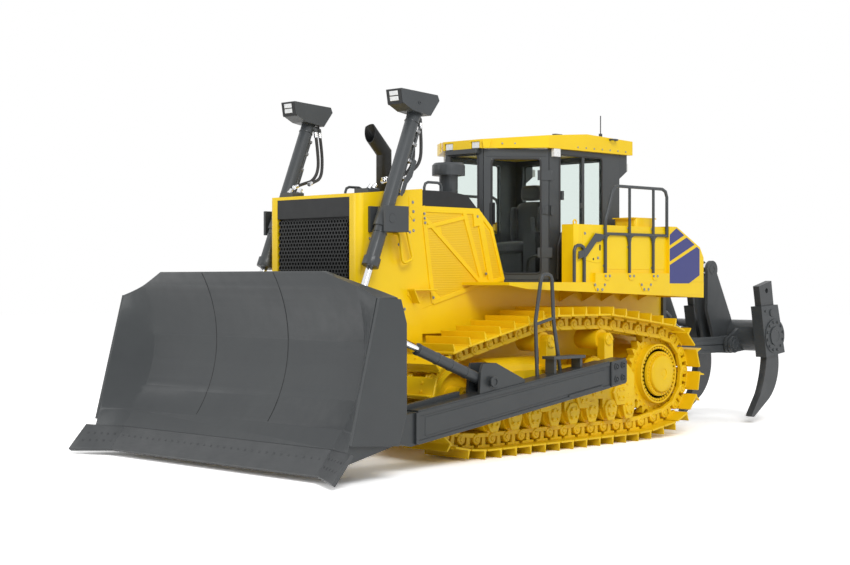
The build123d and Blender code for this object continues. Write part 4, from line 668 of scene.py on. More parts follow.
def makePosts():
    # feet and end caps of the carrier rollers' posts
    shapes, half, z = [], posts["footHalf"], posts["z"]
    for x in posts["x"]:
        shapes.append(boxShape((x - half, x + half), posts["footY"], posts["footZ"], posts["footEdge"]))
        spots = [(x + a * posts["boltX"], y, posts["footZ"][1]) for a in (-1, 1) for y in posts["boltY"]]
        shapes.append(boltRow(spots, upwards, posts["bolt"]))
        shapes.append(turnedShape(posts["cap"], (x, posts["capFace"], z), outwards, 26))
        ring = ringOf(posts["capBolts"], (x, posts["capBoltFace"], z), posts["capRing"], outwards,
                      posts["capTurn"])
        shapes.append(boltRow(ring, outwards, posts["capBolt"]))
    return shapes


def makeFrameDetail():
    # idler hub caps with the bolts of the recoil cover, and clamp plates along the frame
    x, z = idler["x"], idler["z"]
    shapes = makePosts() + [turnedShape(idler["cap"], (x, idler["face"], z), outwards, 30)]
    ring = ringOf(idler["bolts"], (x, idler["boltFace"], z), idler["ring"], outwards)
    shapes.append(boltRow(ring, outwards, idler["bolt"]))
    for z in idler["plateZ"]:
        shapes.append(boltRow([(x, idler["face"], z) for x in idler["plateX"]], outwards, idler["plateBolt"]))
    for x in clamps["x"]:
        shapes.append(sideShape(np.array(clamps["outline"]) + (x, 0), clamps["y"], clamps["edge"]))
        spots = [(x + a * clamps["boltX"], clamps["y"][1], b) for a in (-1, 1) for b in clamps["boltZ"]]
        shapes.append(boltRow(spots, outwards, clamps["bolt"]))
    return shapes


putPair("roller_caps", makeCaps(), "track", "chassis")
putPair("sprocket_hubs", makeHub(), "track", "chassis")
putPair("frame_details", makeFrameDetail(), "track", "chassis")
print("undercarriage dressed")

# hood sides: raised ribs round louvred fields, a latch and bolts, all as (x, z) on the plane of the panel
hood = dict(face=0.660, sunk=0.002, rise=0.012, stagger=0.0004, field=(-0.001, 0.002, 0.001), bolt=0.011,
            latch=((1.098, 2.500), (1.004, 2.500), (1.004, 2.366), (1.080, 2.352)), latchRise=0.006,
            ribBolts=((1.832, 2.471), (1.826, 2.424), (1.820, 2.378), (1.698, 1.612)), ribBoltRise=0.004,
            latchBolts=((0.900, 1.86), (1.035, 2.465)))
ribs = dict(top=((1.862, 2.518), (0.995, 2.518), 0.062), front=((1.842, 2.55), (1.690, 1.560), 0.056),
            rearUpper=((1.022, 2.530), (0.815, 2.347), 0.046), rear=((0.812, 2.355), (0.616, 1.795), 0.044),
            low=((1.700, 1.563), (0.968, 1.746), 0.050), lowRear=((0.985, 1.742), (0.612, 1.809), 0.046),
            diagonal=((1.815, 2.425), (0.955, 1.752), 0.048), brace=((1.790, 2.336), (1.190, 2.456), 0.040),
            upright=((1.236, 2.520), (0.940, 1.740), 0.058), strip=((0.998, 2.500), (0.812, 1.780), 0.078))
fields = (((1.811, 2.465), (1.261, 2.482), (1.261, 2.457), (1.703, 2.373)),
          ((1.833, 2.333), (1.743, 2.338), (0.973, 1.732), (1.565, 1.609), (1.720, 1.714)),
          ((1.571, 2.348), (1.225, 2.418), (0.979, 1.823), (1.009, 1.823), (1.554, 2.248)),
          ((1.189, 2.484), (1.110, 2.484), (1.020, 2.366), (0.881, 1.831), (0.942, 1.819)),
          ((0.930, 2.384), (0.801, 2.280), (0.633, 1.812), (0.764, 1.788)))


def barShape(start, end, width, y, edge=0.003):
    # a flat bar between two points of a side plane
    start, end = np.array(start), np.array(end)
    along = (end - start) / np.linalg.norm(end - start)
    side = np.array([-along[1], along[0]]) * width / 2
    return sideShape([start + side, end + side, end - side, start - side], y, edge)


def platesOn(face, rows):
    # plates on a side plane, from (outline, two distances out of the plane, edge)
    return [sideShape(outline, (face + low, face + high), edge) for outline, low, high, edge in rows]


def boltsOn(face, rows, size):
    # bolts on a side plane, from (x, distance out of the plane, z)
    return boltRow([(x, face + out, z) for x, out, z in rows], outwards, size)


def makeHoodSides():
    # each rib stands a little higher than the one before, so that crossing faces don't meet
    y, top = hood["face"], hood["face"] + hood["rise"]
    shapes = []
    for i, (start, end, width) in enumerate(ribs.values()):
        shapes.append(barShape(start, end, width, (y - hood["sunk"], top + i * hood["stagger"])))
    shapes.append(sideShape(hood["latch"], (y, top + hood["latchRise"])))
    bolts = [(x, hood["ribBoltRise"], z) for x, z in hood["ribBolts"]]
    bolts += [(x, hood["latchRise"], z) for x, z in hood["latchBolts"]]
    return shapes, [boltsOn(top, bolts, hood["bolt"])]


hoodRibs, hoodBolts = makeHoodSides()
# the louvred fields take the louvre finish, whose darker, banded yellow is painted shade
hoodFields = platesOn(hood["face"], [(outline, *hood["field"]) for outline in fields])
putPair("hood_ribs", hoodRibs, "yellow", "chassis")
putPair("hood_fields", hoodFields, "louvre", "chassis")
putPair("hood_bolts", hoodBolts, "bolt", "chassis")
print("hood dressed")

# radiator guard: honeycomb in front of a black backing plate that is painted shade of the space behind the
# grille, a bare band above it, a loop handle at each side
grille = dict(face=2.752, half=0.548, low=1.252, high=2.420, bandTop=2.612, bandX=(-0.030, 0.002),
              cell=0.044, wall=0.0085, depth=0.016, shadeBacking=((2.690, 2.706), (-0.560, 0.560), (1.240, 2.630)))
guard = dict(face=0.680, bolt=0.012, bend=0.045, tube=0.0145,
             handle=((2.365, 0.004, 2.372), (2.365, 0.075, 2.374), (2.225, 0.078, 2.380),
                     (2.155, 0.078, 2.255), (2.080, 0.078, 2.001), (2.222, 0.078, 1.955),
                     (2.268, 0.078, 2.250), (2.268, 0.004, 2.262)),
             bolts=((2.010, 0.007, 2.58), (2.002, 0.007, 2.486), (1.990, 0, 2.400), (2.046, 0, 2.278),
                    (1.993, 0, 2.294), (2.200, 0, 2.150), (2.600, 0, 2.20), (2.600, 0, 1.90),
                    (2.600, 0, 1.60), (2.120, 0, 1.50), (2.120, 0, 1.30), (2.500, 0, 1.30), (2.660, 0, 1.30)))
guardRows = ((((2.080, 1.696), (1.745, 1.696), (1.745, 1.678), (1.990, 1.556), (2.080, 1.640)),
              -0.004, 0.010, 0.004),
             (((1.745, 1.686), (2.080, 1.686), (2.080, 1.700), (1.745, 1.700)), 0, 0.105, 0.004),
             (((1.990, 1.556), (2.004, 1.556), (2.080, 1.690), (2.060, 1.690)), 0, 0.100, 0.004),
             (((2.060, 2.64), (1.965, 2.62), (1.965, 2.43), (2.010, 2.40), (2.060, 2.45)),
              -0.003, 0.007, 0.003))


def honeycomb():
    # hexagons on a triangular lattice, each a ring between two sizes with its depth, kept inside the frame
    cell, half = grille["cell"], grille["half"]
    pitchZ = cell * math.sqrt(3) / 2
    rows = int((grille["high"] - grille["low"]) / pitchZ)
    columns = int(2 * half / cell)
    r, c = np.meshgrid(np.arange(rows), np.arange(columns), indexing="ij")
    y = (-half + cell / 2 + c * cell + (r % 2) * cell / 2).ravel()
    z = (grille["low"] + pitchZ / 2 + r * pitchZ).ravel()
    keep = np.abs(y) < half - cell / 2
    angle = np.pi / 6 + np.arange(6) * np.pi / 3
    ring = np.stack([np.zeros(6), np.cos(angle), np.sin(angle)], 1)
    outer, inner = cell / math.sqrt(3), cell / math.sqrt(3) - grille["wall"]
    back = np.array([-grille["depth"], 0, 0])
    rings = np.stack([ring * inner + back, ring * inner, ring * outer, ring * outer + back])
    shape = loftShape(rings[::-1], capped=False)
    origins = np.stack([np.full(keep.sum(), grille["face"]), y[keep], z[keep]], 1)
    return copies(shape, origins, np.broadcast_to(np.eye(3), (len(origins), 3, 3)))


handle = roundedPath(np.array(guard["handle"]) + (0, guard["face"], 0), guard["bend"])
guardPlates = platesOn(guard["face"], guardRows) + [tubeShape(handle, guard["tube"])]
bandX = [grille["face"] + out for out in grille["bandX"]]
band = boxShape(bandX, (-grille["half"], grille["half"]), (grille["high"], grille["bandTop"]))
# the black backing plate behind the honeycomb is painted shade
putPiece("grille_mesh", joinShapes([boxShape(*grille["shadeBacking"]), honeycomb(), band]), finishes["black"],
         "chassis", stands=("radiator_grille",))
putPair("guard_plates", guardPlates, "yellow", "chassis")
putPair("guard_bolts", [boltsOn(guard["face"], guard["bolts"], guard["bolt"])], "bolt", "chassis")
print("radiator guard dressed")

# deck boxes: blue panel in three strips, door seams, slots filled with black plates as painted shade, rail
# feet and gussets
boxes = dict(face=1.280, rear=1.320, ledge=1.320, posts=(-0.348, -0.782, -1.223), railY=1.300, bolt=0.012,
             panel=(-0.001, 0.002, 0.0008), lid=((-1.40, -0.98), (0.900, 1.215), (2.486, 2.500)),
             lidEdge=0.006,
             sillRow=(((-1.520, 1.620), (-2.150, 1.620), (-2.150, 1.735), (-1.520, 1.735)), -0.002, 0.003,
                      0.003),
             foot=((-0.055, 1.866), (0.055, 1.866), (0.048, 1.812), (0.022, 1.792), (-0.022, 1.792),
                   (-0.048, 1.812)), footOut=(-0.004, 0.013, 0.004),
             footBolts=((-0.036, 1.838), (0.036, 1.838)), brackets=(-0.215, -1.050),
             bracketOut=(-0.002, 0.010, 0.004),
             bracket=((-0.115, 1.760), (0.115, 1.760), (0.060, 1.672), (-0.060, 1.672)),
             bracketBolts=((-0.085, 1.742), (0.085, 1.742), (-0.04, 1.690), (0.04, 1.690)),
             eye=(0.032, 1.18, 2.418), eyeRadius=0.026, eyeTube=0.0085,
             bolts=((-0.011, 0.005, 2.297), (-0.237, 0.005, 2.034), (0.100, -0.030, 2.350),
                    (-0.345, 0, 2.36), (-0.345, 0, 1.95), (-0.780, 0, 2.37), (-0.780, 0, 2.16),
                    (-1.220, 0, 2.37), (-1.220, 0, 1.93)),
             gusset=((-0.085, 2.288), (0.085, 2.288), (0.036, 2.262), (0.017, 2.185), (-0.017, 2.185),
                     (-0.036, 2.262)), gussetOut=(-0.004, 0.004, 0.0015), wingY=(1.302, 1.314),
             wingEdge=0.003,
             wing=((0.125, 2.100), (0.125, 2.020), (-0.012, 2.046), (-0.180, 2.205), (-0.259, 2.214),
                   (-0.300, 2.252), (-0.345, 2.288), (-0.165, 2.300), (0.017, 2.123)),
             slots=((-0.271, 2.147, 0.014, 0.034), (-0.158, 2.021, 0.013, 0.013)),
             slotOut=(0.004, 0.0062, 0.0006))
doorRows = ((((0.020, 2.326), (-0.300, 2.326), (-0.300, 1.985), (-0.217, 1.975), (0.020, 2.012)),
             -0.002, 0.005, 0.004),
            (((-0.390, 2.326), (-0.745, 2.326), (-0.745, 1.910), (-0.390, 1.910)), -0.002, 0.004, 0.003),
            (((-0.820, 2.350), (-1.180, 2.350), (-1.180, 1.910), (-0.820, 1.910)), -0.002, 0.005, 0.003),
            (((-1.260, 2.350), (-1.485, 2.350), (-1.485, 1.910), (-1.260, 1.910)), -0.002, 0.004, 0.003))
bluePanels = (((-1.508, 2.312), (-1.639, 2.390), (-1.792, 2.312), (-1.508, 2.190)),
              ((-1.508, 2.150), (-1.842, 2.287), (-1.998, 2.207), (-1.508, 2.005)),
              ((-1.508, 1.965), (-2.048, 2.182), (-2.098, 2.152), (-2.098, 1.850), (-1.885, 1.755),
               (-1.508, 1.755)))


def alongX(outline, places):
    # the same outline of (x, z) moved to each place along the machine
    return [np.array(outline) + (x, 0) for x in places]


def makeBoxPlates():
    # door plates, lid and sill, then rail feet and ledge brackets with their bolts, and a lifting eye
    face, ledge, bolts = boxes["face"], boxes["ledge"], []
    plates = platesOn(face, doorRows) + [boxShape(*boxes["lid"], boxes["lidEdge"])]
    plates += platesOn(boxes["rear"], [boxes["sillRow"]])
    for kind, places in (("foot", boxes["posts"]), ("bracket", boxes["brackets"])):
        out = boxes[kind + "Out"]
        plates += platesOn(ledge, [(outline, *out) for outline in alongX(boxes[kind], places)])
        bolts += [(x + a, out[1], z) for x in places for a, z in boxes[kind + "Bolts"]]
    ring = np.arange(25) * np.pi / 12
    circle = np.stack([np.cos(ring), np.zeros(25), np.sin(ring)], 1)
    plates.append(tubeShape(circle * boxes["eyeRadius"] + boxes["eye"], boxes["eyeTube"], capped=False))
    return plates, [boltsOn(ledge, bolts, boxes["bolt"]), boltsOn(face, boxes["bolts"], boxes["bolt"])]


def makeGussets():
    # a gusset in the corner of each rail post, and the wing in front of them
    rows = [(outline, *boxes["gussetOut"]) for outline in alongX(boxes["gusset"], boxes["posts"])]
    return platesOn(boxes["railY"], rows) + [sideShape(boxes["wing"], boxes["wingY"], boxes["wingEdge"])]


def slotOutline(x, z, radius, half, count=16):
    # a long hole: two half circles moved apart by twice the half length less the radius
    angle = np.arange(count) * 2 * np.pi / count
    return np.stack([x + radius * np.cos(angle),
                     z + radius * np.sin(angle) + np.sign(np.sin(angle)) * (half - radius)], 1)


boxPlates, boxBolts = makeBoxPlates()
# black plates in the slots' outlines stand for the shade inside the holes: painted shade
boxSlotShade = platesOn(boxes["face"], [(slotOutline(*row), *boxes["slotOut"]) for row in boxes["slots"]])
blue = platesOn(boxes["rear"], [(outline, *boxes["panel"]) for outline in bluePanels])
putPair("box_plates", boxPlates, "yellow", "chassis")
putPair("box_blue_panels", blue, "blue", "chassis")
putPair("rail_gussets", makeGussets(), "frameGrey", "chassis")
putPair("box_slot_shade", boxSlotShade, "black", "chassis")
putPair("box_bolts", boxBolts, "bolt", "chassis")
print("deck boxes dressed")

# blade: seams along the hollow, countersunk bolts in the cutting edge and the end bits
blade = dict(top=(3.734, 1.875), hollow=(3.542, 1.153), knee=(3.800, 0.459), edgeTop=(3.919, 0.293),
             edgeLow=(4.098, 0.075), seams=(-0.549, 0.549), seamTube=0.0035, seamInset=0.01, seamPoints=48,
             edgeHalf=1.582, edgeBolts=(0.06, 0.05), edgeShare=0.62, boltGap=0.104, boltRadius=0.013,
             bitTop=(4.095, 2.030, 0.300), bitLow=(4.313, 2.030, 0.057), bitAlong=(0.14, 0.80, 5),
             bitUp=(0.36, 0.66), bitProud=0.001)


def circleThrough(a, b, c):
    # centre of the circle through three points: both chords' bisectors meet there
    a, b, c = (np.array(p) for p in (a, b, c))
    rows = 2 * np.array([b - a, c - a])
    return np.linalg.solve(rows, np.array([b @ b - a @ a, c @ c - a @ a]))


def makeSeams():
    # weld seams down the hollow: an arc through the top, the hollow and the knee
    centre = circleThrough(blade["top"], blade["hollow"], blade["knee"])
    radius = np.linalg.norm(np.array(blade["top"]) - centre)
    first, last = (math.atan2(*(np.array(blade[k]) - centre)[::-1]) % (2 * math.pi) for k in ("top", "knee"))
    angle = np.linspace(first + blade["seamInset"], last - blade["seamInset"], blade["seamPoints"])
    x, z = centre[0] + radius * np.cos(angle), centre[1] + radius * np.sin(angle)
    return [tubeShape(np.stack([x, np.full(len(x), y), z], 1), blade["seamTube"], 6) for y in blade["seams"]]


def makeBladeBolts():
    # countersunk heads in a row along the cutting edge, and in two rows on each end bit
    rim = blade["boltRadius"]
    profile = [(-0.004, rim), (0.0022, rim), (0.0022, rim * 0.72), (-0.002, rim * 0.42), (-0.002, 0.001)]
    head = turnedShape(profile, (0, 0, 0), (0, 0, 1), 12)
    inTop, inLow = (np.array([x, blade["edgeHalf"], z]) for x, z in (blade["edgeTop"], blade["edgeLow"]))
    rise = inTop - inLow
    out = np.array([rise[2], 0, -rise[0]]) / np.linalg.norm(rise)
    near, far = blade["edgeBolts"]
    y = np.arange(-blade["edgeHalf"] + near, blade["edgeHalf"] - far, blade["boltGap"])
    origins = inLow * (1, 0, 1) + blade["edgeShare"] * rise + y[:, None] * outwards
    edge = placed(head, origins, outwards, np.cross(out, outwards))
    outTop, outLow = np.array(blade["bitTop"]), np.array(blade["bitLow"])
    s, t = (v.ravel()[:, None] for v in np.meshgrid(np.linspace(*blade["bitAlong"]), blade["bitUp"]))
    spots = (1 - t) * ((1 - s) * inLow + s * outLow) + t * ((1 - s) * inTop + s * outTop)
    across = (outLow - inLow) / np.linalg.norm(outLow - inLow)
    face = np.cross(across, rise)
    face *= np.sign(face[0]) / np.linalg.norm(face)
    bits = placed(head, spots + face * blade["bitProud"], across, np.cross(face, across))
    return [edge] + bothSides([bits])


putPiece("blade_seams", joinShapes(makeSeams()), finishes["black"], "blade")
putPiece("blade_bolts", joinShapes(makeBladeBolts()), finishes["steel"], "blade")
print("blade dressed")

# push arms: flange lips, raised panel, rear cap with four recessed bolts, ramp bar and brace collars
# strips are (two values of x, lower and upper line as (edge of the arm, distance above it), y, rim)
arm = dict(face=1.640, rear=-0.270, front=2.985, rearZ=(0.686, 0.958), frontZ=(0.250, 0.556),
           strips=((0.02, 2.90, (1, -0.040), (1, 0.0), (1.636, 1.652), 0.003),
                   (0.02, 2.90, (0, 0.0), (0, 0.034), (1.636, 1.652), 0.003),
                   (0.03, 2.90, (1, 0.0), (1, 0.014), (1.450, 1.652), 0.003),
                   (2.18, 2.93, (1, 0.010), (1, 0.058), (1.452, 1.502), 0.003),
                   (0.10, 2.80, (0, 0.060), (1, -0.066), (1.637, 1.645), 0.004),
                   (0.14, 0.70, (0, 0.022), (0, 0.052), (1.640, 1.656), 0.006)), end=(2.900, 2.938),
           endAt=2.92, endY=(1.620, 1.670), endInset=(0.012, -0.004), bolt=0.0145,
           capRow=(((-0.262, 0.705), (-0.225, 0.684), (0.000, 0.664), (0.004, 0.926), (-0.222, 0.952),
                    (-0.262, 0.930)), -0.004, 0.026, 0.010),
           recess=((0.0, 0.036), (0.008, 0.036), (0.008, 0.026), (-0.004, 0.024), (-0.004, 0.001)),
           recesses=((-0.185, 0.885), (-0.075, 0.872), (-0.185, 0.752), (-0.075, 0.738)),
           boss=((-0.002, 0.075), (0.012, 0.075), (0.018, 0.069), (0.018, 0.048), (0.010, 0.046),
                 (0.010, 0.001)), bossAt=(3.236, 1.640, 0.410), smallBossAt=(1.870, 1.665, 0.800),
           smallBoss=0.72)
brace = dict(foot=(1.870, 0.797), head=(3.285, 1.323), y=1.540, radius=0.055,
             collars=(0.20, 0.345, 0.475, 0.655))


def armLine(x, edge):
    # height of the arm's lower (0) or upper (1) edge
    share = (x - arm["rear"]) / (arm["front"] - arm["rear"])
    return arm["rearZ"][edge] + share * (arm["frontZ"][edge] - arm["rearZ"][edge])


def makeArms():
    # strips between lines that follow the arm's edges, then the end plate, the rear cap and the pin bosses
    shapes = []
    for x0, x1, low, high, y, rim in arm["strips"]:
        ends = ((x0, low), (x1, low), (x1, high), (x0, high))
        corners = [(x, armLine(x, edge) + above) for x, (edge, above) in ends]
        shapes.append(sideShape(corners, y, rim))
    endZ = [armLine(arm["endAt"], edge) + arm["endInset"][edge] for edge in (0, 1)]
    shapes.append(boxShape(arm["end"], arm["endY"], endZ))
    shapes += platesOn(arm["face"], [arm["capRow"]])
    holes = [(x, arm["face"] + arm["capRow"][2], z) for x, z in arm["recesses"]]
    shapes += [turnedShape(arm["recess"], hole, outwards, 20) for hole in holes]
    shapes.append(boltRow(holes, outwards, arm["bolt"]))
    shapes.append(turnedShape(arm["boss"], arm["bossAt"], outwards, 30))
    small = [(x, r * arm["smallBoss"]) for x, r in arm["boss"]]
    return shapes + [turnedShape(small, arm["smallBossAt"], outwards, 26)]


def makeBraces():
    # collars on the brace tube, at shares of its length
    foot = np.array([brace["foot"][0], brace["y"], brace["foot"][1]])
    head = np.array([brace["head"][0], brace["y"], brace["head"][1]])
    axis, r = (head - foot) / np.linalg.norm(head - foot), brace["radius"]
    ring = [(-0.012, r - 0.002), (-0.008, r + 0.005), (0.008, r + 0.005), (0.012, r - 0.002)]
    return [turnedShape(ring, foot + (head - foot) * share, axis, 28) for share in brace["collars"]]


putPair("arm_details", makeArms(), "bladeGrey", "push_frame")
putPair("brace_collars", makeBraces(), "frameGrey", "brace_barrel_pair")
print("push arms dressed")

# lift cylinders: lamp faces, pipes with clamps along the barrel, hose sleeves and the free hoses
# points on the barrel are (distance from the trunnion, distance behind the axis, distance out of pipeY)
lift = dict(trunnion=(2.530, 2.395), eye=(3.142, 0.850), y=0.805, radius=0.070, pipeY=0.838, pipe=0.0125,
            bend=0.03,
            line=((-1.060, 0.060, -0.01), (-1.040, 0.094, 0), (-0.700, 0.094, 0), (-0.640, 0.124, 0),
                  (-0.330, 0.124, 0), (-0.280, 0.060, -0.01)),
            thinLine=((-1.0, 0.094, -0.034), (-0.30, 0.094, -0.034)), thinShare=0.8,
            plate=((-0.703, 0.105, 0), (-0.690, 0.160, 0), (-0.520, 0.160, 0), (-0.400, 0.110, 0),
                   (-0.285, 0.105, 0), (-0.285, 0.068, 0), (-0.440, 0.068, 0), (-0.560, 0.100, 0)),
            plateOut=(0.016, 0.024, 0.002), clamps=(-0.985, -0.842, -0.660, -0.468),
            clampFrom=(0.055, 0.112), clampWide=0.030, clampOut=(-0.048, 0.016),
            bands=((0.490, 0.016), (0.430, 0.006), (0.150, 0.005), (-1.050, 0.006)))
# lamp panels are (half width, low, high, depth, how far proud of the slanted face)
lamp = dict(foot=(2.372, 3.545), head=(2.395, 3.685), bolts=((2.16, -0.03, 3.672), (2.16, 0.03, 3.672)),
            bolt=0.011, edge=0.003,
            plug=((-0.002, 0.016), (0.006, 0.016), (0.006, 0.010), (-0.001, 0.008), (-0.001, 0.001)),
            plugAt=(2.14, 0.110, 3.560),
            black=((0.104, -0.068, 0.064, 0.008, -0.004), (0.104, -0.084, -0.064, 0.020, -0.016)),
            lens=((0.058, 0.006, 0.050, 0.010, 0.002), (0.058, -0.048, -0.004, 0.010, 0.002)))
hoseRoutes = dict(
    front=((2.068, 0.735, 3.380), (2.040, 0.730, 3.180), (2.035, 0.722, 2.975), (2.130, 0.705, 2.850),
           (2.280, 0.690, 2.815), (2.425, 0.671, 2.768)),
    rear=((1.985, 0.765, 3.380), (1.955, 0.757, 3.180), (1.962, 0.745, 2.975), (2.050, 0.685, 2.875),
          (2.190, 0.612, 2.835), (2.315, 0.556, 2.800)))
hoseSize = dict(front=(0.862, 0.034), rear=(0.848, 0.034))


def onBarrel(along, behind, out):
    # a point along the barrel from its trunnion, behind its axis, and out of the pipes' plane
    start, end = np.array(lift["trunnion"]), np.array(lift["eye"])
    ahead = (end - start) / np.linalg.norm(end - start)
    x, z = start + ahead * along + np.array([ahead[1], -ahead[0]]) * behind
    return np.array([x, lift["pipeY"] + out, z])


def makeLamps(kind):
    # panels on the slanted front face: up runs along it, its normal points out
    foot, head = (np.array([x, lift["y"], z]) for x, z in (lamp["foot"], lamp["head"]))
    up = (head - foot) / np.linalg.norm(head - foot)
    shapes = []
    for half, low, high, depth, proud in lamp[kind]:
        outline = [(-half, low), (half, low), (half, high), (-half, high)]
        origin = (foot + head) / 2 + np.cross(outwards, up) * proud
        shapes.append(plateShape(outline, origin, outwards, up, depth, lamp["edge"]))
    return shapes


def makeLampFittings():
    # two bolts on the bracket's top and a plug on its side
    bolts, plug = (np.array(lamp[key]) + (0, lift["y"], 0) for key in ("bolts", "plugAt"))
    return [boltRow(bolts, upwards, lamp["bolt"]), turnedShape(lamp["plug"], plug, outwards, 16)]


def makePipes():
    # a bent pipe, a thinner straight one, the plate over them and bands round the barrel
    path, thin, plate = ([onBarrel(*point) for point in lift[key]] for key in ("line", "thinLine", "plate"))
    shapes = [tubeShape(roundedPath(path, lift["bend"]), lift["pipe"])]
    shapes.append(tubeShape(thin, lift["pipe"] * lift["thinShare"]))
    shapes += platesOn(lift["pipeY"], [(np.array(plate)[:, [0, 2]], *lift["plateOut"])])
    r, axis = lift["radius"], onBarrel(1, 0, 0) - onBarrel(0, 0, 0)
    for along, half in lift["bands"]:
        band = [(-half, r - 0.002), (-half + 0.003, r + 0.006), (half - 0.003, r + 0.006), (half, r - 0.002)]
        shapes.append(turnedShape(band, onBarrel(along, 0, lift["y"] - lift["pipeY"]), axis, 32))
    return shapes


def makeClamps():
    # bars across the pipes, square to the barrel
    shapes, y = [], [lift["pipeY"] + out for out in lift["clampOut"]]
    for along in lift["clamps"]:
        low, high = (onBarrel(along, behind, 0)[[0, 2]] for behind in lift["clampFrom"])
        shapes.append(barShape(low, high, lift["clampWide"], y))
    return shapes


def crimpShape(end, inner):
    # a crimped ferrule over a hose's end: a profile turned about the end's own run
    profile = [(0.0, 0.0175), (0.0, 0.0222), (0.016, 0.0222), (0.019, 0.0205), (0.022, 0.0222),
               (0.038, 0.0222), (0.041, 0.0205), (0.044, 0.0222), (0.058, 0.0222), (0.060, 0.0178)]
    return turnedShape(profile, end, np.array(inner) - np.array(end), 20)


def hangHose(side, name, hand):
    # the route's own points are the control points of a smooth curve of order three
    data = bpy.data.curves.new("hose_" + side + "_" + name, "CURVE")
    data.dimensions = "3D"
    spline = data.splines.new("NURBS")
    route = np.array(hoseRoutes[name]) * (1, hand, 1)
    spline.points.add(len(route) - 1)
    spline.points.foreach_set("co", np.c_[route, np.ones(len(route))].ravel())
    spline.order_u = 3
    spline.use_endpoint_u = True
    spline.resolution_u = 10
    length, diameter = hoseSize[name]
    data.bevel_depth = diameter / 2
    data.bevel_resolution = 5
    data.use_fill_caps = True
    data.materials.append(finishes["rubber"])
    piece = bpy.data.objects.new(data.name, data)
    bpy.context.scene.collection.objects.link(piece)
    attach(piece, "lift_barrel_pair")
    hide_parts("lift_hose_" + side + "_" + name)
    fitting = putPiece("hose_fitting_" + side + "_" + name, crimpShape(route[-1], route[-2]),
                       finishes["chrome"], "lift_barrel_pair")


sleeves = [crimpShape(*route[:2]) for route in hoseRoutes.values()]
for name, shapes, finish, slot in (("lamp_faces", makeLamps("black"), "black", "black_mesh"),
                                   # the lenses' near-white colour and facet cells are painted reflection of
                                   # the bowl
                                   ("lamp_lenses", makeLamps("lens"), "lens", "lamp_lens"),
                                   ("lamp_fittings", makeLampFittings(), "frameGrey", "dark_paint"),
                                   ("lift_pipes", makePipes(), "frameGrey", "dark_paint"),
                                   ("lift_clamps", makeClamps(), "bolt", "chrome_rod"),
                                   ("hose_sleeves", sleeves, "chrome", "chrome_rod")):
    putPair(name, shapes, finish, "lift_barrel_pair")
for side, hand in (("left", 1), ("right", -1)):
    for name in hoseRoutes:
        hangHose(side, name, hand)
print("lift cylinders dressed")

# hose manifold and its slanted ports on the guard, below where the hoses end
manifold = dict(block=((2.455, 2.620), (0.470, 0.672), (2.640, 2.700)), edge=0.006, inset=0.02, bolt=0.010,
                ports=((2.520, 0.640), (2.480, 0.530)), radius=0.020, sunk=0.004, lean=(-0.62, 0.05, 0.78))


def makeManifold():
    # a block with a bolt near each corner, and two leaning ports with their nuts
    (x0, x1), (y0, y1), (low, high) = manifold["block"]
    inset, r = manifold["inset"], manifold["radius"]
    corners = [(x, y, high) for x in (x0 + inset, x1 - inset) for y in (y0 + inset, y1 - inset)]
    plate = [boxShape(*manifold["block"], manifold["edge"]), boltRow(corners, upwards, manifold["bolt"])]
    nut = [(0.0, r * 1.3), (0.022, r * 1.3), (0.026, r), (0.060, r), (0.064, r * 0.7), (0.064, 0.002)]
    foot = high - manifold["sunk"]
    return plate, [turnedShape(nut, (x, y, foot), manifold["lean"], 18) for x, y in manifold["ports"]]


manifoldPlate, manifoldPorts = makeManifold()
putPair("hose_manifolds", manifoldPlate, "frameGrey", "chassis")
putPair("hose_ports", manifoldPorts, "chrome", "chassis")

# ripper: caps on the tower, hinge and shank pins, bolts round the discs at the tube's ends
# rows are (cap radius, (x, z), y, rise), and (bolts, (x, z), y, ring radius, turn, bolt size)
ripper = dict(caps=((0.064, (-3.540, 1.930), 0.514, 0.014), (0.120, (-4.068, 1.085), 1.112, 0.016)),
              rings=((4, (-3.540, 1.930), 0.514, 0.088, 0.6, 0.012),
                     (12, (-4.068, 1.085), 1.112, 0.180, 0, 0.016)), shank=1.023, holderHalf=0.077,
              pin=(-4.000, 1.380), pinCap=0.046, holderBolt=0.014,
              holderBolts=((-3.86, 1.40), (-4.10, 0.93)), hingeCap=(0.066, (-3.720, 0.975), 0.738, 0.014),
              hingeRing=(6, (-3.720, 0.975), 0.738, 0.086, 0, 0.009))


def capShape(radius, at, y, rise=0.014, hand=1):
    # a dished pin cap: a profile turned about the machine's width
    rim = [(-0.002, radius), (rise - 0.004, radius), (rise, radius - 0.004), (rise, radius * 0.62),
           (rise - 0.005, radius * 0.58), (rise - 0.005, 0.001)]
    return turnedShape(rim, (at[0], y, at[1]), (0, hand, 0), 30)


def boltRing(count, at, y, radius, turn, size):
    # bolts round a pin or a disc
    return boltRow(ringOf(count, (at[0], y, at[1]), radius, outwards, turn), outwards, size)


def makeRipper():
    # caps and bolt rings of the tower's pin and the tube's end, then both faces of the outer shank's holder
    shapes = [capShape(*row) for row in ripper["caps"]] + [boltRing(*row) for row in ripper["rings"]]
    for hand in (-1, 1):
        face = ripper["shank"] + hand * ripper["holderHalf"]
        shapes.append(capShape(ripper["pinCap"], ripper["pin"], face, hand=hand))
        spots = [(x, face, z) for x, z in ripper["holderBolts"]]
        shapes.append(boltRow(spots, (0, hand, 0), ripper["holderBolt"]))
    return shapes


pinCaps = [capShape(*ripper["hingeCap"]), boltRing(*ripper["hingeRing"])]
putPair("ripper_caps", makeRipper(), "frameGrey", "ripper_beam_body")
putPair("ripper_pin_caps", pinCaps, "frameGrey", "ripper_pin_pair")
print("ripper dressed")

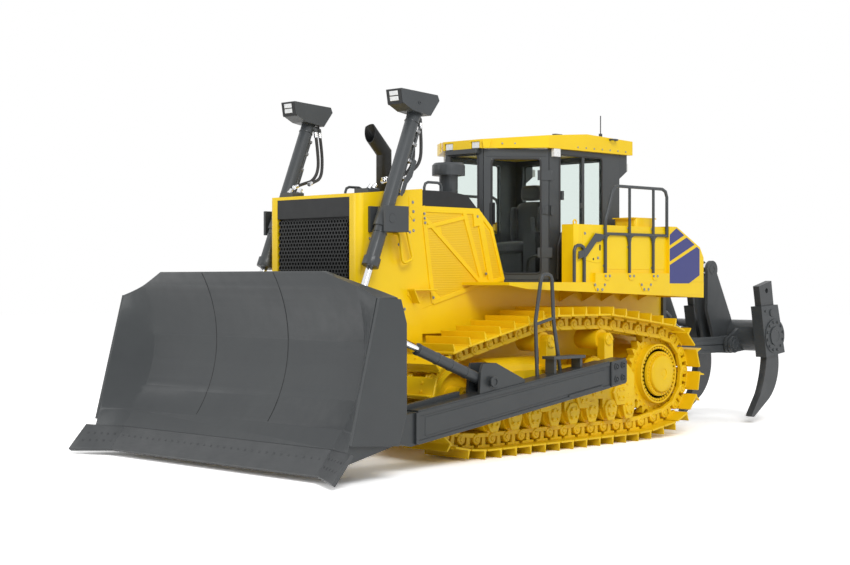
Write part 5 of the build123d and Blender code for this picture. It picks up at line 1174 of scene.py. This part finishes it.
# cab: seals, door furniture, split bars, roof fittings and the seat
# door points are (along the door from its hinge, z), plates (outline, two distances out of its face, edge)
cab = dict(hinge=(0.005, 0.800), doorAcross=(0.70711, -0.70711), doorOut=(0.70711, 0.70711), seal=0.011,
           bend=0.05,
           doorWindow=((0.095, 1.865), (0.511, 1.865), (0.633, 2.216), (0.633, 3.125), (0.095, 3.125)),
           sealOut=0.001, sideY=0.800, sideWindow=((-0.172, 2.280), (-0.928, 3.180)),
           endWindows=((0.520, (-0.210, 1.990), (0.210, 3.180)), (-1.250, (-0.640, 2.330), (0.640, 3.180))))
door = dict(handleRow=(((0.603, 2.405), (0.650, 2.405), (0.658, 2.415), (0.658, 2.636), (0.650, 2.646),
                        (0.603, 2.646), (0.595, 2.636), (0.595, 2.415)), -0.004, 0.006, 0.004),
            grip=((0.612, 2.425), (0.612, 2.626)), gripOut=0.026, gripBend=0.01, gripTube=0.011,
            stub=((0.602, -0.014), (0.622, -0.014), (0.622, 0.014), (0.602, 0.014)), stubs=(2.430, 2.621),
            stubOut=(0.0, 0.030), inner=((0.239, 1.880), (0.231, 2.018), (0.180, 2.062), (0.110, 2.062)),
            innerOut=-0.075, innerTube=0.015, hingeBolts=((0.050, 2.535), (0.050, 2.585)), hingeBolt=0.009,
            hingeRow=(((0.010, 2.505), (0.080, 2.520), (0.080, 2.600), (0.010, 2.615)), -0.002, 0.011,
                      0.003), knuckle=((-0.055, 0.012), (-0.052, 0.016), (0.052, 0.016), (0.055, 0.012)),
            knuckleAt=(-0.017, 0.8143, 2.560),
            dripRow=(((0.030, 3.150), (0.690, 3.150), (0.690, 3.156), (0.030, 3.156)), 0.0, 0.004, 0.001))
# bars are ((x), (y), (z), edge); each cab pipe steps back and out from the one before
trim = dict(bars=(((-0.606, -0.566), (0.752, 0.803), (2.280, 3.180), 0.004),
                  ((-0.566, -0.531), (0.790, 0.812), (2.600, 2.660), 0.005),
                  ((-0.215, -0.180), (0.798, 0.830), (2.680, 2.780), 0.005)),
            pipe=((-0.090, 0.840, 1.800), (-0.095, 0.845, 2.180), (-0.160, 0.850, 2.330),
                  (-0.330, 0.860, 2.350)),
            pipeStep=((-0.045, 0.055, 0), (-0.045, 0.055, 0), (-0.045, 0.050, 0), (0, 0.050, 0)), pipes=4,
            pipeBend=0.10, pipeTube=0.017)
roof = dict(visor=((0.585, 3.238), (0.470, 3.238), (0.500, 3.170), (0.575, 3.190)), visorY=(-0.235, 0.235),
            visorEdge=0.008,
            tabRow=(((0.660, 3.236), (0.730, 3.236), (0.742, 3.335), (0.640, 3.335)), 0.055, 0.066, 0.004),
            loop=((-1.000, 0.850, 3.395), (-1.000, 0.905, 3.395), (-1.090, 0.905, 3.395),
                  (-1.090, 0.850, 3.395)), loopBend=0.03, loopTube=0.011,
            lugs=(((-0.440, -0.320), (0.560, 0.625), (3.390, 3.436), 0.008),
                  ((-0.980, -0.860), (0.560, 0.625), (3.405, 3.446), 0.008)), rivetX=(-1.30, -0.40, 0.145),
            rivetAt=(0.850, 3.275), rivet=0.008,
            slantBolts=((0.10, 3.290), (0.24, 3.290), (0.38, 3.290), (0.52, 3.290)), slantOut=0.0565,
            slantBolt=0.007)
# cushions are boxes from a low to a high corner, the stand is ((x), (y), (z))
seat = dict(fill=0.8, edge=0.012, stand=((-0.580, -0.230), (-0.190, 0.190), (1.792, 2.100)),
            cushions=(((-0.620, -0.255, 2.090), (-0.170, 0.255, 2.236)),
                      ((-0.720, -0.235, 2.170), (-0.560, 0.235, 2.705)),
                      ((-0.700, -0.150, 2.715), (-0.580, 0.150, 2.895)),
                      ((-0.590, -0.245, 2.250), (-0.515, -0.165, 2.645)),
                      ((-0.590, 0.165, 2.250), (-0.515, 0.245, 2.645))))


def onDoor(points, depth):
    # points along the door and up, at a distance out of its outer face
    flat = np.asarray(points, float)
    across, hinge, out = (np.array(cab[key]) for key in ("doorAcross", "hinge", "doorOut"))
    return np.c_[flat[:, :1] * across + hinge + depth * out, flat[:, 1]]


def doorPlate(outline, low, high, edge=0.003):
    # a plate on the door's face between two distances out of it; up x across points outwards
    flip = np.asarray(outline, float) * (-1, 1)
    origin = onDoor([(0, 0)], low)[0]
    return plateShape(flip, origin, (-cab["doorAcross"][0], -cab["doorAcross"][1], 0), (0, 0, 1), high - low,
                      edge)


def closedPath(corners, bend):
    # a loop with rounded corners that starts and ends in the middle of its last side
    corners = np.asarray(corners, float)
    middle = (corners[0] + corners[-1]) / 2
    return roundedPath([middle, *corners, middle], bend)


def sealShape(corners):
    # a rubber tube round a window
    return tubeShape(closedPath(corners, cab["bend"]), cab["seal"], 8, False)


def makeDoorBlack():
    # handle plate, grip on two stubs, and the bent bar inside the pane
    stubs = [np.array(door["stub"]) + (0, z) for z in door["stubs"]]
    grip = roundedPath(onDoor(door["grip"], door["gripOut"]), door["gripBend"])
    inner = roundedPath(onDoor(door["inner"], door["innerOut"]), cab["bend"])
    shapes = [doorPlate(*door["handleRow"]), tubeShape(grip, door["gripTube"], 10)]
    shapes += [doorPlate(stub, *door["stubOut"]) for stub in stubs]
    return shapes + [tubeShape(inner, door["innerTube"], 10)]


def makeDoorGrey():
    # hinge leaf with its bolts and knuckle, and the drip rail above the pane
    leaf = door["hingeRow"]
    bolts = boltRow(onDoor(door["hingeBolts"], leaf[2]), (*cab["doorOut"], 0), door["hingeBolt"])
    knuckle = turnedShape(door["knuckle"], door["knuckleAt"], upwards, 16)
    return [doorPlate(*leaf), bolts, knuckle, doorPlate(*door["dripRow"])]


def makeSeals():
    # seals of the side windows, then of the front and rear ones
    (rear, low), (front, high) = cab["sideWindow"]
    box = [(rear, low), (front, low), (front, high), (rear, high)]
    seals = bothSides([sealShape([(x, cab["sideY"], z) for x, z in box])])
    for x, (y0, z0), (y1, z1) in cab["endWindows"]:
        seals.append(sealShape([(x, y0, z0), (x, y1, z0), (x, y1, z1), (x, y0, z1)]))
    return seals


def makeCabPipes():
    # air pipes beside the door post: path = first path + k steps
    paths = [np.array(trim["pipe"]) + k * np.array(trim["pipeStep"]) for k in range(trim["pipes"])]
    return bothSides([tubeShape(roundedPath(path, trim["pipeBend"]), trim["pipeTube"], 10) for path in paths])


def makeRoofGrey():
    # visor under the front edge, lugs on the crest and loops at the sides
    loop = tubeShape(roundedPath(roof["loop"], roof["loopBend"]), roof["loopTube"], 10)
    visor = sideShape(roof["visor"], roof["visorY"], roof["visorEdge"])
    return [visor] + bothSides([loop] + [boxShape(*row) for row in roof["lugs"]])


def makeRoofBolts():
    # rivets along the sides and on the slanted corners
    rivets = [(x, *roof["rivetAt"]) for x in np.arange(*roof["rivetX"])]
    slant = onDoor(roof["slantBolts"], roof["slantOut"])
    return bothSides([boltRow(rivets, outwards, roof["rivet"]),
                      boltRow(slant, (*cab["doorOut"], 0), roof["slantBolt"])])


def cushionShape(low, high, power=4.0, rows=18, columns=32):
    # superellipsoid: |x|^p + |y|^p + |z|^p = 1 stretched to a box, from two angles
    low, high = np.array(low, float), np.array(high, float)
    a = np.linspace(-np.pi / 2 + 0.02, np.pi / 2 - 0.02, rows)[:, None]
    b = (np.arange(columns) * 2 * np.pi / columns)[None]
    unit = np.stack([np.cos(a) * np.cos(b), np.cos(a) * np.sin(b), np.sin(a) + 0 * b], -1)
    unit /= (np.abs(unit) ** power).sum(-1, keepdims=True) ** (1 / power)
    return loftShape((low + high) / 2 + unit * (high - low) / 2)


doorSeal = [sealShape(onDoor(cab["doorWindow"], cab["sealOut"]))]
doorBlack, doorGrey = makeDoorBlack(), makeDoorGrey()
for side, turn in (("left", list), ("right", lambda shapes: [mirrored(s) for s in shapes])):
    body = side + "_door"
    putPiece("door_seal_" + side, joinShapes(turn(doorSeal)), finishes["rubber"], body)
    putPiece("door_handle_" + side, joinShapes(turn(doorBlack)), finishes["black"], body)
    putPiece("door_hinge_" + side, joinShapes(turn(doorGrey)), finishes["frameGrey"], body)
cabBars = bothSides([boxShape(*row) for row in trim["bars"]])
roofTabs = bothSides([doorPlate(*roof["tabRow"])])
for name, shapes, finish, slot in (("cab_seals", makeSeals(), "rubber", "hose_rubber"),
                                   ("cab_bars", cabBars, "frameGrey", "dark_paint"),
                                   ("cab_pipes", makeCabPipes(), "rubber", "hose_rubber"),
                                   ("roof_tabs", roofTabs, "yellow", "yellow_paint"),
                                   ("roof_lugs", makeRoofGrey(), "frameGrey", "dark_paint"),
                                   ("roof_bolts", makeRoofBolts(), "bolt", "chrome_rod")):
    putPiece(name, joinShapes(shapes), finishes[finish], "chassis")
cushions = putPiece("seat_cushions", joinShapes([cushionShape(*row) for row in seat["cushions"]]),
                    finishes["cloth"], "chassis", stands=("operator_seat",))
putPiece("seat_stand", boxShape(*seat["stand"], seat["edge"]), finishes["trim"], "chassis")
print("cab dressed")
